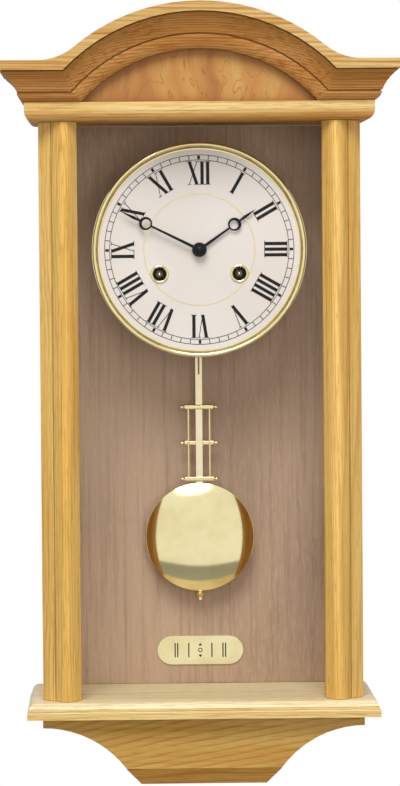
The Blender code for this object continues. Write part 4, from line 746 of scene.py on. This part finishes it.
def hand_outline(ring_at, tip):
    """A ring hand standing up: boss, tapering shaft, ring and leaf-shaped tip."""
    root, neck = HAND_ROOT / 2, HAND_NECK / 2
    shoulder = math.degrees(math.asin(root / HAND_BOSS))
    lower = math.degrees(math.asin(neck / RING_RADIUS))
    leaf = ring_at + RING_RADIUS + HAND_LEAF
    right = arc((0.0, 0.0), HAND_BOSS, -90, 90 - shoulder, 20)
    right += arc((0.0, ring_at), RING_RADIUS, -90 + lower, 90 - lower, 24)
    right += [(0.85 * root, leaf - 0.5 * HAND_LEAF), (root, leaf), (0.0, tip)]
    return right + [(-x, z) for x, z in reversed(right[1:-1])]


def make_hands(look):
    """Black ring hands and the domed nut that holds them."""
    hole_drop = (RING_RADIUS - RING_HOLE) / 3
    minute_angle, hour_angle = 6 * MINUTES_SHOWN, 30 * HOUR_SHOWN + MINUTES_SHOWN / 2
    for name, body, hand, angle in (
        ("hour_hand", "hour", HOUR_HAND, hour_angle),
        ("minute_hand", "centre", MINUTE_HAND, minute_angle),
    ):
        outlines = [
            hand_outline(hand["ring"], hand["tip"]),
            circle((0.0, 0.0), hand["bore"], HOLE_FACETS),
            circle((0.0, hand["ring"] - hole_drop), RING_HOLE, HOLE_FACETS),
        ]
        back = hand["back"]
        bm = bmesh.new()
        slab(bm, [spin(outline, angle) for outline in outlines], back, back - HAND_THICKNESS)
        piece(f"ring_{name}", bm, look, body, [name], edge=HAND_EDGE)
    turns = [math.pi / 2 * i / 10 for i in range(11)]
    collar = NUT_FOOT - NUT_COLLAR
    radius = NUT_DOME_SHARE * NUT_RADIUS
    dome = [(NUT_RADIUS, NUT_FOOT), (NUT_RADIUS, collar + NUT_SHOULDER)]
    dome += [(radius * math.cos(t), collar - NUT_DOME * math.sin(t)) for t in turns]
    bm = bmesh.new()
    turn(bm, dome, SMALL_FACETS, (0.0, 0.0, 0.0))
    piece("domed_nut", bm, look, "centre", ["hand_nut"])


# Pendulum, gong and hammer
PENDULUM_DEPTH = 0.026
BOB_Z = -0.2393
BOB_RADIUS = 0.0451
BOB_CROWN = 0.009
BOB_EDGE = 0.0012
BAR_LEVELS = (-0.131, -0.161, -0.191)
BAR_HALF = 0.0119
BAR_HEIGHT = 0.004
BAR_STEP = 0.0013
BAR_FACE = 0.0029
BAR_NOTCH = 0.00305
BAR_SECTION = (-0.97, -0.9, -0.8, -0.6, 0.6, 0.8, 0.9, 0.97)
BALL = 0.0018
BALL_NECK = 0.0008
BALL_FACETS = 20
SIDE_ROD = 0.00085
SIDE_ROD_AT = 0.0088
SIDE_ROD_FACETS = 16
RATING_NUT = 0.003
RATING_TOP = -0.2847
RATING_FOOT = -0.2917
RATING_FINIAL = ((0.0, 0.0), (0.22, 0.02), (0.34, 0.12), (0.3, 0.22), (0.55, 0.36), (0.95, 0.48), (1.0, 0.52))
RATING_KNURL = ((1.0, 0.78), (0.92, 0.82), (0.62, 0.86), (0.6, 1.0), (0.0, 1.0))
HAMMER_HEAD = {"radius": 0.0045, "length": 0.012, "nose": 0.0391, "bearing": 160.0}
HAMMER_ARM = 0.060
HAMMER_ARM_RADIUS = 0.0011
HAMMER_BORE = 0.0023
HAMMER_HUB = 0.0045
HAMMER_HUB_HALF = 0.002
HAMMER_CHAMFER = 0.0004
HAMMER_TENON = 0.0008
HAMMER_COLLAR = {"radius": 1.9 * HAMMER_ARM_RADIUS, "length": 0.0022, "slope": 0.0006}
HAMMER_NOSE = ((0.0, 0.0), (0.5, 0.02), (0.74, 0.1), (0.8, 0.22), (0.8, 0.28), (1.0, 0.32))
HAMMER_TAIL = ((1.0, 0.8), (0.94, 0.84), (0.94, 0.87), (1.0, 0.9), (1.0, 0.96), (0.92, 1.0), (0.0, 1.0))
GONG = {"turns": 4, "outer": 0.040, "inner": 0.012, "z": -0.044, "depth": 0.015, "wire": 0.003}


def make_bob(look):
    """Polished lens-shaped bob with a thin turned rim."""
    steps = 24
    face = []
    for i in range(steps + 1):
        share = i / steps
        fall = 1 - 0.7 * share**2 - 0.3 * share**4
        face.append((BOB_RADIUS * share, BOB_EDGE + (BOB_CROWN - BOB_EDGE) * fall))
    lens = [(r, -d) for r, d in face] + [(r, d) for r, d in reversed(face)]
    bm = bmesh.new()
    turn(bm, lens, ROUND_FACETS, (0.0, -PENDULUM_DEPTH, BOB_Z))
    piece("polished_bob", bm, look, "pendulum", ["bob"], edge=2 * METAL_EDGE)


def make_gridiron(look):
    """Side rods and ball-ended cross bars: the middle bar passes behind the rod, the others before it."""
    bm = bmesh.new()
    foot, head = BAR_LEVELS[-1] - BAR_HEIGHT / 3, BAR_LEVELS[0] + BAR_HEIGHT / 3
    for side in (-1, 1):
        rod_at = (side * SIDE_ROD_AT, -PENDULUM_DEPTH, 0.0)
        turn(bm, [(SIDE_ROD, foot), (SIDE_ROD, head)], SIDE_ROD_FACETS, rod_at, "Z")
    for i, level in enumerate(BAR_LEVELS):
        facing = 1 if i % 2 else -1
        rings = []
        for up in BAR_SECTION:
            bulge = BAR_FACE / 2 * (1 - up**6) ** 0.5
            near, far = BAR_FACE / 2 - bulge, BAR_FACE / 2 + bulge
            plan = [(-BAR_HALF, far), (-BAR_HALF, near), (-BAR_NOTCH, near), (-BAR_NOTCH, BAR_STEP)]
            plan += [(-u, v) for u, v in reversed(plan)]
            z = level + up * BAR_HEIGHT / 2
            rings.append([(u, facing * v - PENDULUM_DEPTH, z) for u, v in plan])
        skin(bm, rings, closed=False)
        turns = [math.pi * k / 10 for k in range(2, 11)]
        ball = [(BALL_NECK, -BALL - BALL_NECK), (BALL_NECK, -BALL)]
        ball += [(BALL * math.sin(t), -BALL * math.cos(t)) for t in turns]
        for side in (-1, 1):
            tip = (side * (BAR_HALF + BALL + BALL_NECK / 2), facing * BAR_FACE / 2 - PENDULUM_DEPTH, level)
            turn(bm, [(r, side * along) for r, along in ball], BALL_FACETS, tip, "X")
    piece("gridiron_bars", bm, look, "pendulum", ["gridiron"], edge=METAL_EDGE)


def make_rating_nut(look):
    """Knurled rating nut that ends in a small finial."""
    span = RATING_TOP - RATING_FOOT
    profile = [(RATING_NUT * r, RATING_FOOT + span * up) for r, up in RATING_FINIAL + RATING_KNURL]
    bm = bmesh.new()
    turn(bm, profile, SMALL_FACETS, (0.0, -PENDULUM_DEPTH, 0.0), "Z")
    piece("rating_finial", bm, look, "pendulum", ["rating_nut"])


def make_gong(look):
    """Coiled gong of round steel wire, held at its outer end."""
    per_turn = 48
    steps = GONG["turns"] * per_turn
    curve = bpy.data.curves.new("coiled_gong", "CURVE")
    curve.dimensions = "3D"
    curve.bevel_depth = GONG["wire"] / 2
    curve.bevel_resolution = 3
    curve.use_fill_caps = True
    spline = curve.splines.new("POLY")
    spline.points.add(steps + 1)
    for i in range(steps + 1):
        radius = GONG["inner"] + (GONG["outer"] - GONG["inner"]) * i / steps
        x, z = polar(radius, 360 * i / per_turn, (0.0, GONG["z"]))
        spline.points[i].co = (x, -GONG["depth"], z, 1.0)
    spline.points[-1].co = (GONG["outer"], -GONG["depth"], GONG["z"] + GONG["wire"], 1.0)
    curve.materials.append(look)
    made = bpy.data.objects.new("coiled_gong", curve)
    bpy.context.scene.collection.objects.link(made)
    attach(made, "case")
    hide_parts("gong_coil")


def make_hammer(look):
    """Strike hammer: a hub on its stud, a slim arm with a collar and a turned head with a rounded nose."""
    depth, bearing = -GONG["depth"], HAMMER_HEAD["bearing"]
    radius, length = HAMMER_HEAD["radius"], HAMMER_HEAD["length"]
    nose = polar(HAMMER_HEAD["nose"], bearing, (0.0, GONG["z"]))
    middle = polar(length / 2, bearing, nose)
    pivot = polar(HAMMER_ARM, bearing - 90, middle)
    bm = bmesh.new()
    back, front = depth + HAMMER_HUB_HALF, depth - HAMMER_HUB_HALF
    face = HAMMER_HUB - HAMMER_CHAMFER
    hub = [(HAMMER_BORE, back), (face, back), (HAMMER_HUB, back - HAMMER_CHAMFER)]
    hub += [(HAMMER_HUB, front + HAMMER_CHAMFER), (face, front), (HAMMER_BORE, front)]
    turn(bm, hub, SMALL_FACETS, (pivot[0], 0.0, pivot[1]), closed=True)
    root, end = HAMMER_HUB - HAMMER_TENON, HAMMER_ARM - radius / 2
    collar = HAMMER_ARM - radius - HAMMER_COLLAR["length"]
    arm = [(HAMMER_ARM_RADIUS, root), (HAMMER_ARM_RADIUS, collar)]
    arm += [(HAMMER_COLLAR["radius"], along) for along in (collar + HAMMER_COLLAR["slope"], end)]
    turn_along(bm, arm, THIN_FACETS, (pivot[0], depth, pivot[1]), bearing + 90)
    head = [(radius * r, length * along) for r, along in HAMMER_NOSE + HAMMER_TAIL]
    turn_along(bm, head, SMALL_FACETS, (nose[0], depth, nose[1]), bearing)
    piece("strike_hammer", bm, look, "hammer", ["hammer"])


# Spring barrels
GREAT_WHEEL = 0.0025
DRUM_BORE = 0.006
DRUM_WALL = 0.0252
DRUM_LIP = 0.0256
DRUM_CAP = 0.0016
DRUM_FACE = 0.0004
DRUM_EASE = 0.0004
DRUM_DISH = 0.0003
DRUM_BOSS = 0.0006
DRUM_STEPS = (0.9, 0.88, 0.4, 0.38)
DRUM_FACETS = 96


def make_drums(look):
    """Turned drums of the spring barrels, each with a lipped cap and a raised ring round its arbor."""
    for train in ("time", "strike"):
        low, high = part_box(f"{train}_barrel")
        front, back = low[1] - DRUM_FACE, high[1] - GREAT_WHEEL
        cap = front + DRUM_CAP
        dish, boss = front + DRUM_DISH, front - DRUM_BOSS
        rim, dish_outer, dish_inner, ring = [share * DRUM_WALL for share in DRUM_STEPS]
        profile = [(DRUM_BORE, back), (DRUM_WALL, back), (DRUM_WALL, cap + DRUM_EASE)]
        profile += [(DRUM_WALL - DRUM_EASE / 4, cap + DRUM_EASE / 2), (DRUM_LIP, cap)]
        profile += [(DRUM_LIP, front + DRUM_EASE), (DRUM_LIP - DRUM_EASE, front), (rim, front)]
        profile += [(dish_outer, dish), (dish_inner, dish), (ring, boss), (DRUM_BORE, boss)]
        bm = bmesh.new()
        turn(bm, profile, DRUM_FACETS, ((low[0] + high[0]) / 2, 0.0, (low[2] + high[2]) / 2), closed=True)
        piece(f"{train}_drum", bm, look, f"{train}_barrel")


# Glue blocks
APRON_BLOCK = ((0.0626, -0.4200), (0.0626, -0.4184), (0.0606, -0.4104), (0.0470, -0.4200))
APRON_BLOCK_BACK = -0.0005
APRON_BLOCK_FRONT = -0.1119
CORNICE_CORNER = (0.1327, -0.133)
CORNICE_BLOCK_LEVELS = (0.1189, 0.1512)
BLOCK_LEG = 0.011
LET_IN = 0.0003


def make_glue_blocks(apron_look, cornice_look):
    """Three-sided blocks glued into the corners behind the apron and the cornice."""
    bm = bmesh.new()
    for side in (-1, 1):
        slab(bm, [[(side * x, z) for x, z in APRON_BLOCK]], APRON_BLOCK_BACK, APRON_BLOCK_FRONT)
    piece("apron_glue_blocks", bm, apron_look, "case", edge=WOOD_EDGE)
    bm = bmesh.new()
    x, y = CORNICE_CORNER
    plan = [(x + LET_IN, y - LET_IN), (x - BLOCK_LEG, y - LET_IN), (x + LET_IN, y + BLOCK_LEG)]
    for side in (-1, 1):
        skin(bm, [[(side * u, v, z) for u, v in plan] for z in CORNICE_BLOCK_LEVELS], closed=False)
    piece("cornice_glue_blocks", bm, cornice_look, "case", edge=WOOD_EDGE)


# Beat plate
BEAT_Z = -0.336
BEAT_FACE = -0.0093
MARK_HALF = 0.006
MARK_LINE = 0.0005
MARK_PLACES = (-0.0212, -0.0190, -0.0097, 0.0097, 0.0190, 0.0212)
MARK_RING = (0.0019, 0.0012)
POINT_HALF = 0.0016
POINT_FOOT = 0.0038


def make_beat_marks(ink):
    """Scale lines for the pendulum's swing, with a centre mark between two small points."""
    bm = bmesh.new()
    front, back = BEAT_FACE - PRINT_DEPTH, BEAT_FACE - PRINT_RISE / 3
    low, high = BEAT_Z - MARK_HALF, BEAT_Z + MARK_HALF
    for x in MARK_PLACES:
        left, right = x - MARK_LINE, x + MARK_LINE
        slab(bm, [[(left, low), (right, low), (right, high), (left, high)]], back, front)
    rings = [circle((0.0, BEAT_Z), radius, THIN_FACETS) for radius in MARK_RING]
    slab(bm, rings, back, front)
    for way in (1, -1):
        tip, foot = BEAT_Z + way * MARK_HALF, BEAT_Z + way * POINT_FOOT
        slab(bm, [[(-POINT_HALF, foot), (POINT_HALF, foot), (0.0, tip)]], back, front)
    piece("beat_marks", bm, ink, "case")


# Finishes on the pieces
ink = lacquer("black_print", (0.013, 0.011, 0.010), 0.4)
black = lacquer("black_lacquer", (0.008, 0.008, 0.010), 0.12)
bright_brass = brass("bright_brass", (0.95, 0.84, 0.48), (0.87, 0.74, 0.38), 0.07)
bar_brass = brass("bar_brass", (0.96, 0.80, 0.42), (0.89, 0.70, 0.33), 0.1)
rod_brass = brass("rod_brass", (0.96, 0.84, 0.55), (0.90, 0.76, 0.46), 0.16, 0.1)
plate_brass = brass("plate_brass", (0.80, 0.60, 0.25), (0.66, 0.47, 0.18), 0.24, 0.12)
gilt = brass("gilt_line", (0.88, 0.75, 0.40), (0.82, 0.67, 0.33), 0.2)
bright_steel = steel("bright_steel", (0.58, 0.58, 0.60), 0.22)
browned_steel = steel("browned_steel", (0.16, 0.13, 0.10), 0.3)
glass = clear_glass("clear_glass")

# Painted shade on the cornice's mouldings behind its fascia.
cornice_oak = oak("cornice_oak", "X", 3.1, CORNICE_OAK, 0.8, fascia=FASCIA_FRONT, streaks=0.7)
dress(cornice_oak, "cornice_front", edge=WOOD_EDGE)
dress(oak("return_oak", "Y", 5.7, CORNICE_OAK), "cornice_left", "cornice_right", edge=WOOD_EDGE)
# Stronger painted shade on the rail's lower, rounded half.
dress(oak("top_rail_oak", "X", 8.2, RAIL_OAK, 0.35, under=(-0.25, 0.06)), "top_board", edge=WOOD_EDGE)
# Painted light on the base board's faces that look up.
dress(oak("base_oak", "X", 1.3, RAIL_OAK, 0.35, gloss=0.25, top_light=0.85), "base_board", edge=WOOD_EDGE)
dress(oak("apron_oak", "X", 11.9, APRON_OAK, 0.7, tilt=-0.2, ring=0.0042), "apron_front", edge=WOOD_EDGE)
dress(oak("apron_end_oak", "Y", 2.6, APRON_OAK), "apron_left", "apron_right", edge=WOOD_EDGE)
dress(oak("apron_foot_oak", "X", 6.4, FOOT_OAK), "apron_foot", edge=WOOD_EDGE)
for side, seed in (("left", 4.4), ("right", 9.5)):
    stile_oak = oak(f"{side}_stile_oak", "Z", seed, STILE_OAK, 0.38, groove=0.4, streaks=0.32)
    dress(stile_oak, f"door_stile_{side}", edge=WOOD_EDGE)
dress(oak("side_oak", "mitred", 7.3, STILE_OAK), "left_side_frame", "right_side_frame", edge=WOOD_EDGE)
dress(burl("figured_veneer"), "tympanum_panel")
dress(panel_veneer("panel_veneer"), "back_panel", edge=THIN_EDGE)
dress(dial_paint("dial_paint"), "dial_plate")
dress(glass, "door_glass", "left_side_glass", "right_side_glass")
dress(bright_brass, "beat_plate", edge=METAL_EDGE)
dress(rod_brass, "pendulum_rod", edge=METAL_EDGE)
dress(plate_brass, "back_plate", "front_plate", "suspension_cock")
dress(plate_brass, "centre_wheel", "minute_wheel", "hour_wheel", "intermediate_wheel", "time_barrel")
dress(plate_brass, "third_wheel", "escape_wheel", "strike_barrel", "pin_wheel", "fly")
dress(bright_steel, "hanger_plate", "movement_bracket_left", "movement_bracket_right")
dress(bright_steel, "cannon_pinion", "suspension_spring", "anchor")
dress(bright_steel, "hinge_pin_top", "hinge_pin_bottom", "catch_plate")
dress(browned_steel, "time_winding_arbor", "strike_winding_arbor", edge=THIN_EDGE)
dress(iron("cast_iron"), "gong_block", "magnet_catch", edge=WOOD_EDGE)

make_dial_print(ink, gilt)
make_bezel(bezel_brass("bezel_brass"))
make_grommets(bright_brass)
# Black cups as painted shade in the winding holes.
make_shade_cups(black)
# Bright points as a painted glint on the winding squares.
make_glint_tips(bright_brass)
make_hands(black)
make_bob(bright_brass)
make_gridiron(bar_brass)
make_rating_nut(plate_brass)
make_gong(bright_steel)
make_hammer(plate_brass)
make_drums(plate_brass)
apron_block_oak = oak("apron_block_oak", "Y", 12.7, APRON_OAK)
make_glue_blocks(apron_block_oak, oak("cornice_block_oak", "Z", 10.3, CORNICE_OAK))
make_beat_marks(ink)


# Room, light and camera
def make_floor():
    """Pale round floor well below the hanging clock."""
    bm = bmesh.new()
    rim = circle((0.0, 0.0), FLOOR_RADIUS, FLOOR_FACETS)
    bm.faces.new([bm.verts.new((x, y, FLOOR_LEVEL)) for x, y in rim])
    mesh = bpy.data.meshes.new("floor")
    bm.to_mesh(mesh)
    bm.free()
    finish = new_finish("pale_floor")
    mesh.materials.append(finish.coat(Base_Color=FLOOR_PAINT, Roughness=0.7))
    floor = bpy.data.objects.new("floor", mesh)
    bpy.context.scene.collection.objects.link(floor)


def make_world():
    """White surroundings for what the camera and the metal see, at a plain level for what they light."""
    world = bpy.data.worlds.new("studio")
    bpy.context.scene.world = world
    finish = Finish(world)
    seen = finish.node("ShaderNodeLightPath", output="Is Camera Ray")
    path = seen.socket.node.outputs
    seen = seen + Shade(finish, path["Is Glossy Ray"]) + Shade(finish, path["Is Transmission Ray"])
    seen = finish.node("ShaderNodeMath", {"operation": "MINIMUM"}, {0: seen, 1: 1.0})
    background = finish.tree.nodes["Background"]
    finish.feed(background.inputs["Color"], (1.0, 1.0, 1.0))
    finish.feed(background.inputs["Strength"], AMBIENT + (1 - AMBIENT) * seen)


def area_light(name, place, size, power):
    """A soft round lamp aimed at the middle of the clock."""
    lamp = bpy.data.lights.new(name, "AREA")
    lamp.shape = "DISK"
    lamp.size = size
    lamp.energy = power
    made = bpy.data.objects.new(name, lamp)
    made.location = place
    made.rotation_euler = (Vector(CLOCK_MIDDLE) - Vector(place)).to_track_quat("-Z", "Y").to_euler()
    bpy.context.scene.collection.objects.link(made)
    return made


def make_camera():
    """Long lens before the clock, a little to its left."""
    lens = bpy.data.cameras.new("camera")
    lens.lens = LENS
    lens.sensor_fit = "AUTO"
    lens.sensor_width = 36.0
    camera = bpy.data.objects.new("camera", lens)
    camera.location = EYE
    look = Euler((math.radians(90 + PITCH), 0.0, math.radians(-YAW))).to_matrix()
    camera.rotation_euler = (look @ Euler((0.0, 0.0, math.radians(-ROLL))).to_matrix()).to_euler()
    bpy.context.scene.collection.objects.link(camera)
    bpy.context.scene.camera = camera


make_floor()
make_world()
area_light("key", **KEY)
area_light("fill", **FILL).visible_glossy = False
make_camera()
bpy.context.scene.view_settings.view_transform = "Standard"
